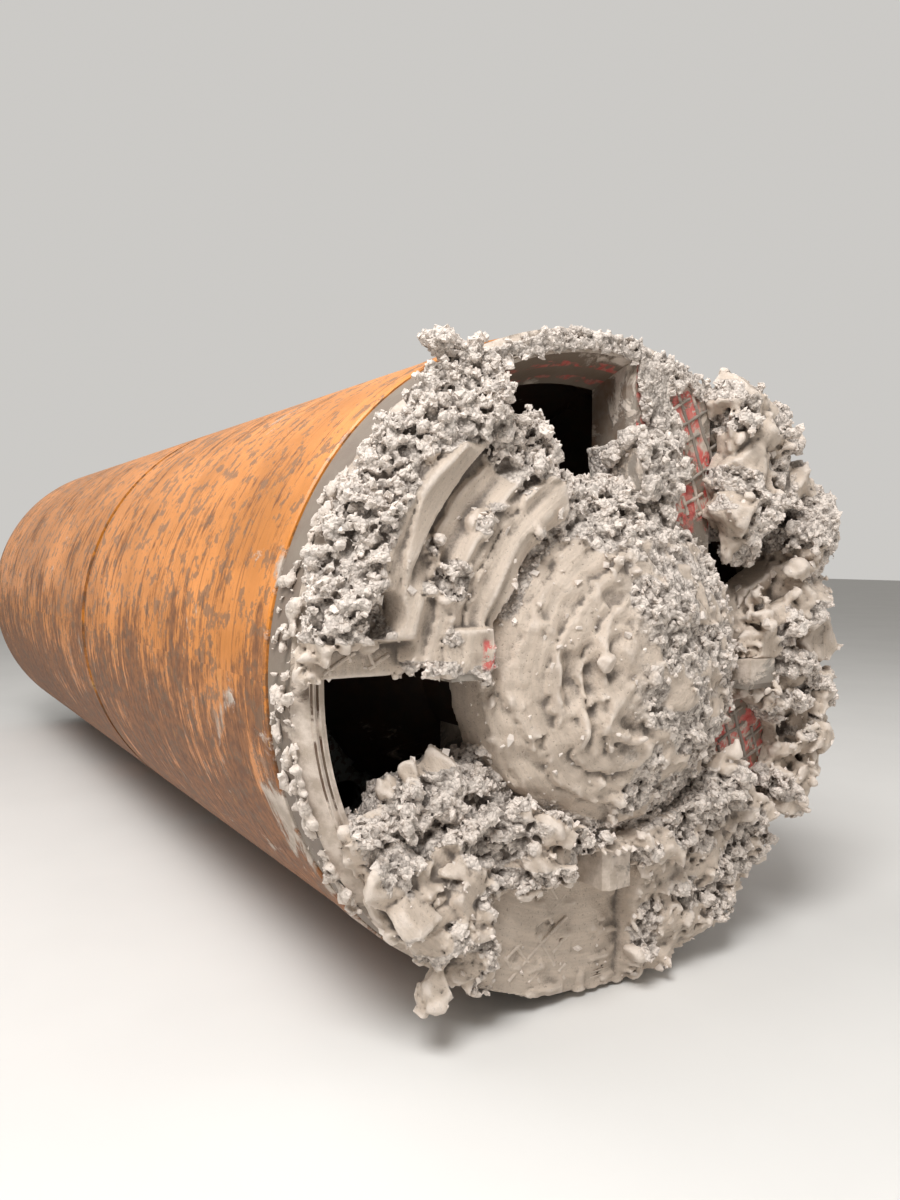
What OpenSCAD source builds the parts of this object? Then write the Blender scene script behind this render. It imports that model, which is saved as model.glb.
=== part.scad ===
// Microtunnelling machine: a clay-caked cutterhead, a front shield with the crusher chamber and the
// drive, a steering joint with four cylinders, and a rear shield with the power pack.
// The machine lies along X with the cutterhead at +X. Millimetres, +Z up.
// Stations are measured backwards from the face plane of the cutterhead.

/* [Shields] */
// Outside diameter over the wear band, the widest part
band_od = 1500; // [1460:10:1700]
// How far the wear band stands above the painted skin
band_step = 3; // [2:1:6]
// Thickness of the wear band
band_t = 9; // [8:1:12]
// Length of the wear band along the machine
band_len = 100; // [60:5:200]
// Thickness of both shield skins
skin_t = 28; // [22:1:34]
// Length of the front shield's skin
front_len = 1640; // [1620:10:1900]
// Length of the rear shield's skin
rear_len = 2330; // [2200:10:2900]
// Bevel on the leading edge of the front skin
skin_bevel = 12; // [4:1:16]
// Gap between the two skins at the steering joint
joint_gap = 46; // [44:1:60]
// Width across of a frame ring's plate, along the machine
frame_t = 30; // [20:1:40]
// How far the frame rings reach in from the skin
frame_depth = 160; // [150:5:180]

/* [Cutterhead] */
// Depth of the rim and of the arms, along the machine
head_depth = 130; // [100:5:160]
// Radial clearance from the wear band in to the rim
rim_inset = 6; // [3:1:20]
// Thickness of the rim at its front edge
rim_front_t = 56; // [40:1:80]
// Thickness of the rim at its back edge
rim_back_t = 102; // [82:1:120]
// Bevel at the front edge of the rim
rim_bevel = 26; // [10:1:34]
// Gap between the back of the rim and the front skin
head_gap = 8; // [6:1:20]
// Offset of an arm's near edge from the centre line
arm_near = 80; // [60:5:90]
// Width of an arm
arm_w = 280; // [250:5:290]
// Chamfer along the front edges of an arm
arm_chamfer = 16; // [5:1:30]
// Radius of the hub
hub_r = 300; // [280:5:320]
// Radius of the flat on the nose
nose_flat_r = 90; // [60:5:140]
// How far the steel nose stands ahead of the face plane
nose_len = 96; // [60:2:120]
// How far the cutting teeth stand ahead of the face plane
tooth_proud = 100; // [60:2:110]
// Width of a cutting tooth along the edge of its arm
tooth_w = 90; // [70:2:100]
// Thickness of a cutting tooth, out from the side of its arm
tooth_t = 72; // [50:2:76]
// Height of the two weld ridges round the front of the rim
ridge_h = 6; // [3:1:10]

/* [Crusher chamber and drive] */
// Radius of the neck that carries the head
neck_r = 280; // [240:5:290]
// Length of the neck behind the head
neck_len = 200; // [160:5:240]
// Length of the crusher cone behind the neck
cone_len = 270; // [200:5:300]
// Thickness of the chamber's liner at the throat
liner_t = 142; // [100:2:170]
// Gap at the throat between the crusher cone and the liner
throat_gap = 146; // [120:2:180]
// Radius of the main shaft
shaft_r = 150; // [100:5:180]
// Running clearance round the main shaft
shaft_clear = 0.1; // [0.05:0.01:0.1]
// Thickness of the bulkhead
bulkhead_t = 40; // [30:1:60]
// How far the drive housing stays in from the bore of the shield
drive_inset = 289; // [280:1:320]
// Length of the drive housing
drive_len = 370; // [300:10:420]
// Number of drive motors
motor_count = 3; // [2:1:4]
// Radius of one drive motor's body
motor_r = 85; // [60:1:100]
// Length of one drive motor's body
motor_len = 200; // [150:5:260]

/* [Steering joint] */
// How far the ball face of the steering joint stays in from the bore of the shield
ball_inset = 29; // [27:0.5:31]
// Thickness of the ball collar
collar_t = 35; // [28:1:38]
// Half length of the ball face along the machine
collar_half = 90; // [80:2:100]
// How far each steering cylinder stays in from the bore of the shield
cyl_inset = 119; // [115:1:125]
// Outside diameter of a cylinder barrel
barrel_d = 84; // [70:2:92]
// Length of a cylinder barrel
barrel_len = 330; // [280:5:340]
// Diameter of a cylinder rod
rod_d = 46; // [36:2:54]
// Diameter of the pins at the cylinders' ends
pin_d = 40; // [30:1:44]
// Outside diameter of a rod's eye
eye_d = 86; // [76:2:90]
// Width of a rod's eye
eye_w = 44; // [36:2:50]
// Clearance round the pin and beside the eye at the open end of each linkage
eye_clear = 3.5; // [3:0.5:5]

/* [Slurry lines and rear shield] */
// Outside diameter of a slurry pipe
pipe_d = 114; // [100:2:120]
// Wall of a slurry pipe
pipe_t = 6; // [5:1:9]
// Gap between the walkway's edge and the flange of a slurry pipe
pipe_gap = 10; // [6:1:14]
// How far the middle of a slurry pipe stays in from the bore of the shield
pipe_inset = 199; // [196:1:204]
// Diameter of a slurry pipe's flange
flange_d = 220; // [210:2:224]
// Bolt circle of a slurry pipe's flange
flange_pcd = 180; // [174:2:184]
// Bolt holes in a slurry pipe's flange
flange_holes = 8; // [4:4:8]
// Diameter of a flange's bolt holes
flange_hole_d = 18; // [14:1:20]
// Length of the spigot that the first pipe slides on
spigot_len = 138; // [110:2:160]
// How far the spigot stays in from the bore of the shield
spigot_inset = 19; // [11:1:29]
// Thickness of the spigot ring
spigot_t = 60; // [50:1:64]
// Width of the walkway
walk_w = 400; // [360:10:400]
// Height of the walkway's top above the bottom of the shield's bore
walk_height = 319; // [309:5:329]
// Thickness of the walkway's grating
walk_t = 40; // [30:1:44]
// Length of the power pack and of the cabinet
unit_len = 640; // [600:10:660]
// Height of the power pack's tank and of the cabinet
unit_h = 480; // [400:10:500]
// Depth of the tank and of the cabinet, sideways
unit_d = 220; // [180:5:230]
// How far the backs of the tank and of the cabinet stay in from the bore of the shield
unit_inset = 99; // [90:1:120]
// How far the feet of the tank and of the cabinet lie below the machine's axis
unit_drop = 300; // [280:5:320]
// Wall of the oil tank
tank_wall = 10; // [6:1:14]
// Wall of the cabinet and thickness of its door
cabinet_wall = 12; // [8:1:16]
// Diameter of a lifting socket
lift_d = 40; // [30:1:50]

/* [Caked clay] */
// How far the clay stands ahead of the face plane at the nose
clay_nose = 200; // [160:5:240]
// How far the clay mound spreads past the hub
clay_spread = 72; // [64:2:80]
// Thickness of the clay on the side arm
clay_side_t = 100; // [60:2:110]
// Thickness of the clay on the low arm
clay_low_t = 96; // [60:2:120]
// Thickness of the clay lumps on the far side
clay_far_t = 120; // [80:2:150]

/* [Hidden] */
seat = 0.3;
turn_fn = 120;
skin_r = band_od / 2 - band_step;
bore_r = skin_r - skin_t;
ball_r = bore_r - ball_inset;
cyl_orbit = bore_r - cyl_inset;
throat_r = bore_r - seat - liner_t;
cone_back_r = throat_r - throat_gap;
drive_r = bore_r - drive_inset;
pipe_y = walk_w / 2 + pipe_gap + flange_d / 2;
pipe_drop = sqrt((bore_r - pipe_inset) * (bore_r - pipe_inset) - pipe_y * pipe_y);
spigot_r = bore_r - spigot_inset;
walk_drop = bore_r - walk_height;
clay_cap_r = hub_r + clay_spread;
axis_z = band_od / 2;
rim_r = band_od / 2 - rim_inset;
rim_front_r = rim_r - rim_front_t;
rim_back_r = rim_r - rim_back_t;
front_start = head_depth + head_gap;
front_end = front_start + front_len;
pivot = front_end + joint_gap / 2;
rear_start = pivot + joint_gap / 2;
rear_end = rear_start + rear_len;
tail = rear_end + spigot_len;
face_x = (tail - clay_nose) / 2;
neck_end = head_depth + neck_len;
cone_end = neck_end + cone_len;
bulkhead_front = cone_end + 50;
bulkhead_back = bulkhead_front + bulkhead_t;
drive_end = bulkhead_back + drive_len;
front_frame_back = pivot - 130;
rear_frame_front = pivot + 590;
tail_frame_front = rear_end - 680;
frame_r = bore_r - frame_depth;
arm_far = arm_near + arm_w;
tooth_back = 70;
tooth_near = 430;
tooth_far = 450;
cyl_pin = pivot + 540;
barrel_back = cyl_pin - 50;
barrel_front = barrel_back - barrel_len;
ear_gap = eye_w + 2 * eye_clear;
segment_gap = 2 * seat;
ear_t = 16;
unit_low = -unit_drop;
unit_in = bore_r - unit_inset - unit_d;
unit_front = pivot + 900;
pipe_end = rear_end - 60;
HEAD_ARMS = [for (i = [1:4]) str("arm_", i)];
CYL = ["top", "right", "bottom", "left"];

// A point of a profile, from its station and its radius
function pt(s, r) = [r, face_x - s];

// A body turned about the machine's axis, from a list of [station, radius]
module turned(profile, angle = 360) {
    translate([0, 0, axis_z]) rotate([0, 90, 0])
        rotate_extrude(angle = angle, $fn = turn_fn) polygon([for (p = profile) pt(p[0], p[1])]);
}

// A plain ring between two stations and two radii
module ring(s0, s1, r0, r1) {
    turned([[s0, r0], [s1, r0], [s1, r1], [s0, r1]]);
}

// Places a child at a station on the axis, turned round the axis by a share of a circle
module on_axis(s = 0, turn = 0) {
    translate([face_x - s, 0, axis_z]) rotate([turn, 0, 0]) children();
}

// A cylinder along the machine, from station s0 back to s1, at a place in the cross section
module along(s0, s1, d, y = 0, z = 0, fn = 48) {
    translate([face_x - s1, y, axis_z + z]) rotate([0, 90, 0]) cylinder(h = s1 - s0, d = d, $fn = fn);
}

// A tapered cylinder about the axis, as wide as the inside of the rim less the seat
module rim_bore() {
    translate([face_x - head_depth, 0, axis_z]) rotate([0, 90, 0])
        cylinder(h = head_depth, r1 = rim_back_r - seat, r2 = rim_front_r - seat, $fn = turn_fn);
}

// Cutterhead

module head_rim() {
    r1 = rim_front_r + 12;
    r2 = rim_r - rim_bevel - 6;
    w = 4;
    function ridge(r) = [[0, r - w], [-ridge_h, r - w * 0.4], [-ridge_h, r + w * 0.4], [0, r + w]];
    color("dimgray") turned(concat([[0, rim_front_r]], ridge(r1), ridge(r2),
        [[0, rim_r - rim_bevel], [rim_bevel, rim_r], [head_depth, rim_r], [head_depth, rim_back_r]]));
}

// One straight arm, set off to one side of the centre like a pinwheel's
module arm_bar() {
    reach = rim_r;
    low = 130;
    difference() {
        linear_extrude(height = reach) polygon([[0, arm_near + arm_chamfer], [0, arm_far - arm_chamfer],
            [-arm_chamfer, arm_far], [-head_depth, arm_far], [-head_depth, arm_near],
            [-arm_chamfer, arm_near]]);
        translate([-head_depth - 1, 0, -1]) cube([head_depth + 2, reach, low + 1]);
        translate([-head_depth - 1, 0, 0]) rotate([90, 0, 90]) linear_extrude(height = head_depth + 2)
            polygon([[hub_r - 50, low - 1], [arm_far + 1, low - 1], [arm_far + 1, low + 130]]);
        translate([-head_depth - 1, 0, 0]) rotate([0, 90, 0])
            cylinder(h = head_depth + 2, r = hub_r + seat, $fn = turn_fn);
    }
}

module head_arm(i) {
    color("dimgray") intersection() {
        on_axis(0, 90 * (i - 1)) arm_bar();
        rim_bore();
    }
}

module hub_nose() {
    color("dimgray") turned([[-nose_len, 0], [-nose_len, nose_flat_r], [-nose_len * 0.72, nose_flat_r + 70],
        [-12, hub_r - 34], [14, hub_r], [head_depth, hub_r], [head_depth, 0]]);
}

// A cutting tooth, from the side wall of its arm outwards and ahead of the face
module tooth(y, dir, r, proud) {
    translate([0, y, r]) mirror([0, dir < 0 ? 1 : 0, 0]) translate([0, 0, -tooth_w / 2])
        linear_extrude(height = tooth_w) polygon([[-tooth_back, seat], [proud - 10, seat], [proud, 14],
            [proud, tooth_t], [proud - 40, tooth_t], [-tooth_back, tooth_t * 0.55]]);
}

module teeth() {
    color("darkslategray") for (i = [0:3]) on_axis(0, 90 * i) {
        tooth(arm_near, -1, tooth_near, tooth_proud);
        tooth(arm_far, 1, tooth_far, tooth_proud * 0.5);
    }
}

// Webs behind the arms, from the neck out
module arm_gussets() {
    web_t = 30;
    web_y = arm_near + arm_w / 2;
    color("dimgray") difference() {
        for (i = [0:3]) on_axis(0, 90 * i) translate([0, web_y + web_t / 2, 0]) rotate([90, 0, 0])
            linear_extrude(height = web_t) polygon([[-head_depth - seat, neck_r - 130],
                [-head_depth - seat, rim_back_r - 52], [-head_depth - 40, rim_back_r - 52],
                [-neck_end + 20, neck_r + 20], [-neck_end + 20, neck_r - 130]]);
        along(head_depth - 1, neck_end + 10, 2 * (neck_r + seat), fn = turn_fn);
    }
}

module crusher_cone() {
    bar_n = 8;
    bar_h = 24;
    color("gray") {
        turned([[head_depth + seat, 0], [head_depth + seat, neck_r], [neck_end, neck_r],
            [cone_end, cone_back_r], [cone_end + 36, cone_back_r], [cone_end + 36, shaft_r],
            [bulkhead_back - 2, shaft_r], [bulkhead_back - 2, 0]]);
        for (k = [0:bar_n - 1]) on_axis(0, 360 / bar_n * k) translate([0, 16, 0]) rotate([90, 0, 0])
            linear_extrude(height = 32) polygon([[-neck_end, neck_r - 40], [-neck_end - 20, neck_r + bar_h],
                [-cone_end + 6, cone_back_r + bar_h - 6], [-cone_end - 10, cone_back_r - 40]]);
    }
}

// Clay caked on the head

// Part of a turned ring between two bearings, seen from the front, counted from the far side upwards
module sector(profile, from, to) {
    translate([0, 0, axis_z]) rotate([90 + from, 0, 0]) rotate([0, 90, 0])
        rotate_extrude(angle = to - from, $fn = turn_fn) polygon([for (p = profile) pt(p[0], p[1])]);
}

module clay_cap() {
    r = clay_cap_r;
    n = -clay_nose;
    color("tan") difference() {
        turned([[n, 0], [n * 0.98, r * 0.3], [n * 0.9, r * 0.42], [n * 0.86, r * 0.58], [n * 0.7, r * 0.7],
            [n * 0.62, r * 0.85], [n * 0.36, r * 0.95], [-seat, r], [-seat, hub_r - 16],
            [-12 - seat, hub_r - 33], [-nose_len * 0.72 - seat, nose_flat_r + 71],
            [-nose_len - seat, nose_flat_r + 1], [-nose_len - seat, 0]]);
    }
}

// Room for the teeth of arm i, cleared out of the clay round them
module tooth_room(i) {
    c = 1;
    on_axis(0, 90 * (i - 1)) for (t = [[arm_near - tooth_t - c, tooth_near], [arm_far - c, tooth_far]])
        translate([-tooth_back - c, t[0], t[1] - tooth_w / 2 - c])
            cube([tooth_back + tooth_proud + 2 * c, tooth_t + 2 * c, tooth_w + 2 * c]);
}

// Clay inside an opening of the head, from its outline in the cross section, clear of the rim and the hub
module clay_plug(outline, back, front) {
    reach = head_depth + front;
    difference() {
        intersection() {
            translate([face_x - back, 0, axis_z]) rotate([90, 0, 90]) linear_extrude(height = back + front)
                polygon(outline);
            translate([face_x - head_depth, 0, axis_z]) rotate([0, 90, 0]) cylinder(h = reach,
                r1 = rim_back_r - seat, r2 = rim_back_r - seat + (rim_front_r - rim_back_r) * reach / head_depth,
                $fn = turn_fn);
        }
        along(-front - 1, back + 1, 2 * (hub_r + seat), fn = turn_fn);
        along(-front - 1, 0, 2 * (clay_cap_r + 1), fn = turn_fn);
    }
}

module clay_side_arm() {
    t = clay_side_t;
    in_r = clay_cap_r + 6;
    e = arm_far + 0.5;
    color("tan") difference() {
        union() {
            sector([[-seat, in_r], [-t, in_r], [-t - 14, rim_front_r - 218], [-t, rim_front_r - 128],
                [-t * 0.7, rim_front_r - 38], [-36, rim_front_r],
                [-30, rim_r - 30], [-seat - ridge_h, rim_r - 30], [-seat - ridge_h, rim_front_r - 2],
                [-seat, rim_front_r - 2]], 118, 175);
            clay_plug([[-rim_r, e], [-259, e], [-240, e - 12], [-228, 420], [-218, 500], [-290, 518],
                [-342, 500], [-326, rim_front_r - 68], [-350, rim_r], [-rim_r, rim_r]], 100, 24);
        }
        tooth_room(2);
    }
}

module clay_low_arm() {
    t = clay_low_t;
    in_r = clay_cap_r + 6;
    e = arm_far + 0.5;
    n = arm_near - 0.5;
    color("tan") difference() {
        union() {
            sector([[-seat, in_r], [-t, in_r], [-t - 22, rim_front_r - 228], [-t, rim_front_r - 128],
                [-t * 0.6, rim_front_r - 28], [-36, rim_r - 30], [-seat - ridge_h, rim_r - 30], [-seat - ridge_h, rim_front_r - 2],
                [-seat, rim_front_r - 2]], 224, 322);
            clay_plug([[-e, -rim_r], [-e, -262], [-e - 30, -200], [-460, -240], [-560, -262],
                [-rim_r, -300], [-rim_r, -rim_r]], 110, 24);
            clay_plug([[-n, -rim_r], [-n, -340], [150, -300], [258, -e], [320, -e], [352, -430], [410, -440],
                [440, -e], [rim_r, -e], [rim_r, -rim_r]], 110, 24);
        }
        tooth_room(3);
        tooth_room(4);
    }
}

module clay_far_lumps() {
    t = clay_far_t;
    n = arm_near - 0.5;
    // One row for each lump: from, to, inner radius, outer radius, thickness as a share
    r = rim_front_r;
    lumps = [[-31, -18, r - 60, rim_r, 0.7], [-20, 5, r - 272, r + 42, 0.85], [-1, 20.5, r - 248, r + 50, 0.7],
        [18.5, 37, r - 72, rim_r, 0.95], [35, 50.5, r - 226, r + 46, 0.8], [48.5, 58, r - 24, rim_r, 1]];
    color("tan") difference() {
        union() {
            for (i = [0:len(lumps) - 1]) {
                l = lumps[i];
                back = seat + ridge_h + 2 * (i % 2);
                sector([[-back, l[2]], [-t * l[4] * 0.7, l[2] + 10], [-t * l[4], (l[2] + l[3]) / 2],
                    [-t * l[4] * 0.8, l[3] - 14], [-34, l[3]], [-back, rim_r - rim_bevel]], l[0], l[1]);
            }
            clay_plug([[380, -n], [rim_r, -n], [rim_r, 40], [600, 30], [520, 60], [430, 20], [380, 40]], 90, 30);
        }
        tooth_room(1);
        tooth_room(4);
    }
}

module clay_crest() {
    back = ridge_h + seat;
    color("tan") sector([[-back, rim_front_r + 8], [-42, rim_front_r + 20], [-30, rim_r - rim_bevel],
        [-back, rim_r - rim_bevel]], 60, 114);
}

// Front shield

module lift_socket(s) {
    translate([face_x - s, 0, axis_z + skin_r - 60]) cylinder(h = 80, d = lift_d, $fn = 48);
}

module lift_boss(s) {
    intersection() {
        translate([face_x - s, 0, axis_z + skin_r - 74]) cylinder(h = 60, d = 3 * lift_d, $fn = 48);
        along(s - 200, s + 200, 2 * (bore_r + 4), fn = turn_fn);
    }
}

module front_skin() {
    seat_r = band_od / 2 - band_t - seat;
    band_end = front_start + band_len;
    boss_s = front_start + 760;
    color("orange") difference() {
        union() {
            turned([[front_start, bore_r + skin_bevel], [front_start, seat_r], [band_end + seat, seat_r],
                [band_end + seat, skin_r], [front_end, skin_r], [front_end, bore_r],
                [front_start + skin_bevel, bore_r]]);
            lift_boss(boss_s);
        }
        lift_socket(boss_s);
    }
}

module wear_band() {
    edge = 4;
    color("goldenrod") turned([[front_start, band_od / 2 - band_t], [front_start, band_od / 2 - edge],
        [front_start + edge, band_od / 2], [front_start + band_len, band_od / 2],
        [front_start + band_len, band_od / 2 - band_t]]);
}

module chamber_liner() {
    liner_front = neck_end + 4;
    outer = bore_r - seat;
    bar_n = 12;
    color("gray") {
        turned([[liner_front, outer], [liner_front, outer - 14], [cone_end, throat_r],
            [bulkhead_front - seat, throat_r], [bulkhead_front - seat, outer]]);
        for (k = [0:bar_n - 1]) on_axis(0, 360 / bar_n * k + 11) translate([0, 14, 0]) rotate([90, 0, 0])
            linear_extrude(height = 28) polygon([[-liner_front - 30, outer - 22], [-liner_front - 30, outer - 50],
                [-cone_end, throat_r - 22], [-cone_end, throat_r + 20]]);
    }
}

module bulkhead() {
    color("slategray") difference() {
        ring(bulkhead_front, bulkhead_back, shaft_r + shaft_clear, bore_r - seat);
        for (side = [-1, 1]) along(bulkhead_front - 1, bulkhead_back + 1, pipe_d - 2 * pipe_t, side * pipe_y,
            -pipe_drop);
    }
}

// Bearing and gearbox: one heavy block with its flange and stepped cover
module drive_housing() {
    color("slategray") difference() {
        turned([[bulkhead_back + seat, 0], [bulkhead_back + seat, drive_r], [bulkhead_back + 40, drive_r],
            [bulkhead_back + 40, drive_r - 30], [drive_end - 70, drive_r - 30], [drive_end - 70, drive_r - 10],
            [drive_end - 30, drive_r - 10], [drive_end, drive_r - 60], [drive_end, 0]]);
        for (k = [0:11]) on_axis(0, 30 * k + 15) translate([-drive_end + 90, -40, drive_r - 48])
            cube([drive_len - 190, 80, 60]);
    }
}

module drive_motors() {
    port = 46;
    color("steelblue") for (k = [0:motor_count - 1]) on_axis(0, 360 / motor_count * k)
        translate([-drive_end - seat, 0, drive_r - 190]) rotate([0, -90, 0]) {
            cylinder(h = 26, r = motor_r + 24, $fn = 48);
            cylinder(h = motor_len, r = motor_r, $fn = 48);
            cylinder(h = motor_len + 36, r = motor_r * 0.66, $fn = 48);
            translate([-motor_r - 20, -port / 2, motor_len - 90]) cube([40, port, 70]);
            translate([motor_r - 20, -port / 2, motor_len - 90]) cube([40, port, 70]);
        }
}

// Ears with a pin across them, for the eye of one steering cylinder
module front_ears() {
    far = 40;
    stem = front_frame_back - pivot;
    for (side = [-1, 1]) translate([0, side * (ear_gap + ear_t) / 2, cyl_orbit]) rotate([90, 0, 0])
        linear_extrude(height = ear_t, center = true) {
            circle(r = far, $fn = 48);
            translate([0, -far]) square([-stem + 1, 2 * far]);
        }
    translate([0, -ear_gap / 2 - ear_t, cyl_orbit]) rotate([-90, 0, 0])
        cylinder(h = ear_gap + 2 * ear_t, d = pin_d, $fn = 48);
}

module front_frame() {
    color("lightgray") {
        difference() {
            ring(front_frame_back - frame_t, front_frame_back, frame_r, bore_r - seat);
            for (side = [-1, 1]) along(front_frame_back - frame_t - 1, front_frame_back + 1,
                pipe_d + 2 * seat, side * pipe_y, -pipe_drop);
        }
        for (k = [0:3]) on_axis(pivot, 90 * k) front_ears();
    }
}

module front_lines() {
    stop = pivot - 50;
    color("silver") for (side = [-1, 1]) difference() {
        union() {
            along(bulkhead_back + seat, stop, pipe_d, side * pipe_y, -pipe_drop);
            along(bulkhead_back + seat, bulkhead_back + 24, pipe_d + 46, side * pipe_y, -pipe_drop);
        }
        along(bulkhead_back - 1, stop + 1, pipe_d - 2 * pipe_t, side * pipe_y, -pipe_drop);
    }
}

// Guidance target: a flat box with a window towards the rear
module laser_target() {
    w = 260;
    h = 250;
    t = 70;
    s0 = front_frame_back - frame_t - seat - t;
    color("dimgray") difference() {
        translate([face_x - s0 - t, -w / 2, axis_z + frame_r + 30 - h]) cube([t, w, h]);
        translate([face_x - s0 - t - 1, -w / 2 + 24, axis_z + frame_r + 30 - h + 24]) cube([13, w - 48, h - 80]);
    }
}

// Steering joint

module ball_collar() {
    web = collar_half;
    color("silver") {
        difference() {
            intersection() {
                on_axis(pivot) sphere(r = ball_r, $fn = turn_fn);
                ring(pivot - collar_half, pivot + collar_half, ball_r - collar_t, ball_r + 10);
            }
        }
        ring(pivot + web - 12, pivot + web + 24, ball_r - collar_t, bore_r - seat);
    }
}

// Seal carrier in four segments between the ball and the front skin, both faces arcs about the pivot
module joint_ring() {
    lead = 85;
    trail = 27;
    steps = 8;
    inner = ball_r + 0.4;
    outer = sqrt(bore_r * bore_r + joint_gap * joint_gap / 4) - 0.2;
    function arc(r, k) = let (d = trail + (lead - trail) * k / steps) [pivot - d, sqrt(r * r - d * d)];
    color("dimgray") difference() {
        turned(concat([for (k = [0:steps]) arc(outer, k)], [for (k = [steps:-1:0]) arc(inner, k)]));
        for (a = [0, 90]) on_axis(pivot - trail + 1, a) translate([0, -segment_gap / 2, -outer - 1])
            cube([lead - trail + 2, segment_gap, 2 * outer + 2]);
    }
}

// Rod with its eye, drawn at the top and turned round the axis for the others
module rod(k) {
    color("gainsboro") on_axis(pivot, 90 * k) translate([0, 0, cyl_orbit]) difference() {
        union() {
            translate([-barrel_front + pivot - 120, 0, 0]) rotate([0, 90, 0])
                cylinder(h = barrel_front - pivot + 120, d = rod_d, $fn = 48);
            rotate([90, 0, 0]) cylinder(h = eye_w, d = eye_d, center = true, $fn = 48);
        }
        rotate([90, 0, 0]) cylinder(h = eye_w + 2, d = pin_d + 2 * eye_clear, center = true, $fn = 48);
    }
}

// Barrel with its gland, ports and rear eye
module barrel(k) {
    back = barrel_back;
    front = barrel_front;
    color("orangered") on_axis(pivot, 90 * k) translate([0, 0, cyl_orbit]) difference() {
        union() {
            translate([pivot - back, 0, 0]) rotate([0, 90, 0]) cylinder(h = back - front, d = barrel_d, $fn = 48);
            translate([pivot - front - 36, 0, 0]) rotate([0, 90, 0])
                cylinder(h = 36, d = barrel_d + 10, $fn = 48);
            translate([pivot - cyl_pin, -eye_w / 2, -barrel_d / 2 + 6]) cube([60, eye_w, barrel_d - 12]);
            translate([pivot - cyl_pin, 0, 0]) rotate([90, 0, 0])
                cylinder(h = eye_w, d = eye_d, center = true, $fn = 48);
            for (s = [front + 60, back - 60]) translate([pivot - s, 0, -barrel_d / 2 - 14])
                cylinder(h = 30, d = 36, $fn = 32);
        }
        translate([pivot - front - 150, 0, 0]) rotate([0, 90, 0]) cylinder(h = 160, d = rod_d + 0.2, $fn = 48);
        translate([pivot - cyl_pin, 0, 0]) rotate([90, 0, 0])
            cylinder(h = eye_w + 2, d = pin_d + 2 * seat, center = true, $fn = 48);
    }
}

// Rear shield

module rear_skin() {
    boss_s = rear_start + 1400;
    color("orange") difference() {
        union() {
            ring(rear_start, rear_end, bore_r, skin_r);
            lift_boss(boss_s);
        }
        lift_socket(boss_s);
    }
}

module rear_ears() {
    reach = 50;
    for (side = [-1, 1]) translate([pivot - cyl_pin, side * (eye_w / 2 + 1 + ear_t / 2), cyl_orbit])
        rotate([90, 0, 0]) linear_extrude(height = ear_t, center = true) {
            circle(r = eye_d / 2 + 4, $fn = 48);
            translate([cyl_pin - rear_frame_front - 1, -eye_d / 2]) square([-cyl_pin + rear_frame_front + 1, eye_d]);
        }
    translate([pivot - cyl_pin, -eye_w / 2 - 1 - ear_t, cyl_orbit]) rotate([-90, 0, 0])
        cylinder(h = eye_w + 2 + 2 * ear_t, d = pin_d, $fn = 48);
}

module rear_frames() {
    color("lightgray") {
        for (s = [rear_frame_front, tail_frame_front]) difference() {
            ring(s, s + frame_t, frame_r, bore_r - seat);
            for (side = [-1, 1]) along(s - 1, s + frame_t + 1, pipe_d + 2 * seat, side * pipe_y, -pipe_drop);
        }
        for (k = [0:3]) on_axis(pivot, 90 * k) rear_ears();
    }
}

module walkway() {
    s0 = rear_frame_front + frame_t + 20;
    s1 = rear_end - 20;
    slot_n = 22;
    slot_pitch = (s1 - s0 - 80) / slot_n;
    leg_s = [s0 + 60, (s0 + s1) / 2 - 200, tail_frame_front + 200, s1 - 60];
    color("darkgray") difference() {
        union() {
            translate([face_x - s1, -walk_w / 2, axis_z - walk_drop - walk_t]) cube([s1 - s0, walk_w, walk_t]);
            intersection() {
                for (s = leg_s) translate([face_x - s - 10, -walk_w / 2 + 30, 0])
                    cube([20, walk_w - 60, axis_z - walk_drop - walk_t + 10]);
                along(s0, s1, 2 * (bore_r - seat), fn = turn_fn);
            }
        }
        for (k = [0:slot_n - 1]) for (col = [-1, 0, 1])
            translate([face_x - s0 - 56 - slot_pitch * k - slot_pitch * 0.28, col * walk_w * 0.3 - walk_w * 0.12,
                axis_z - walk_drop - walk_t - 1]) cube([slot_pitch * 0.56, walk_w * 0.24, walk_t + 2]);
    }
}

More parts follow.
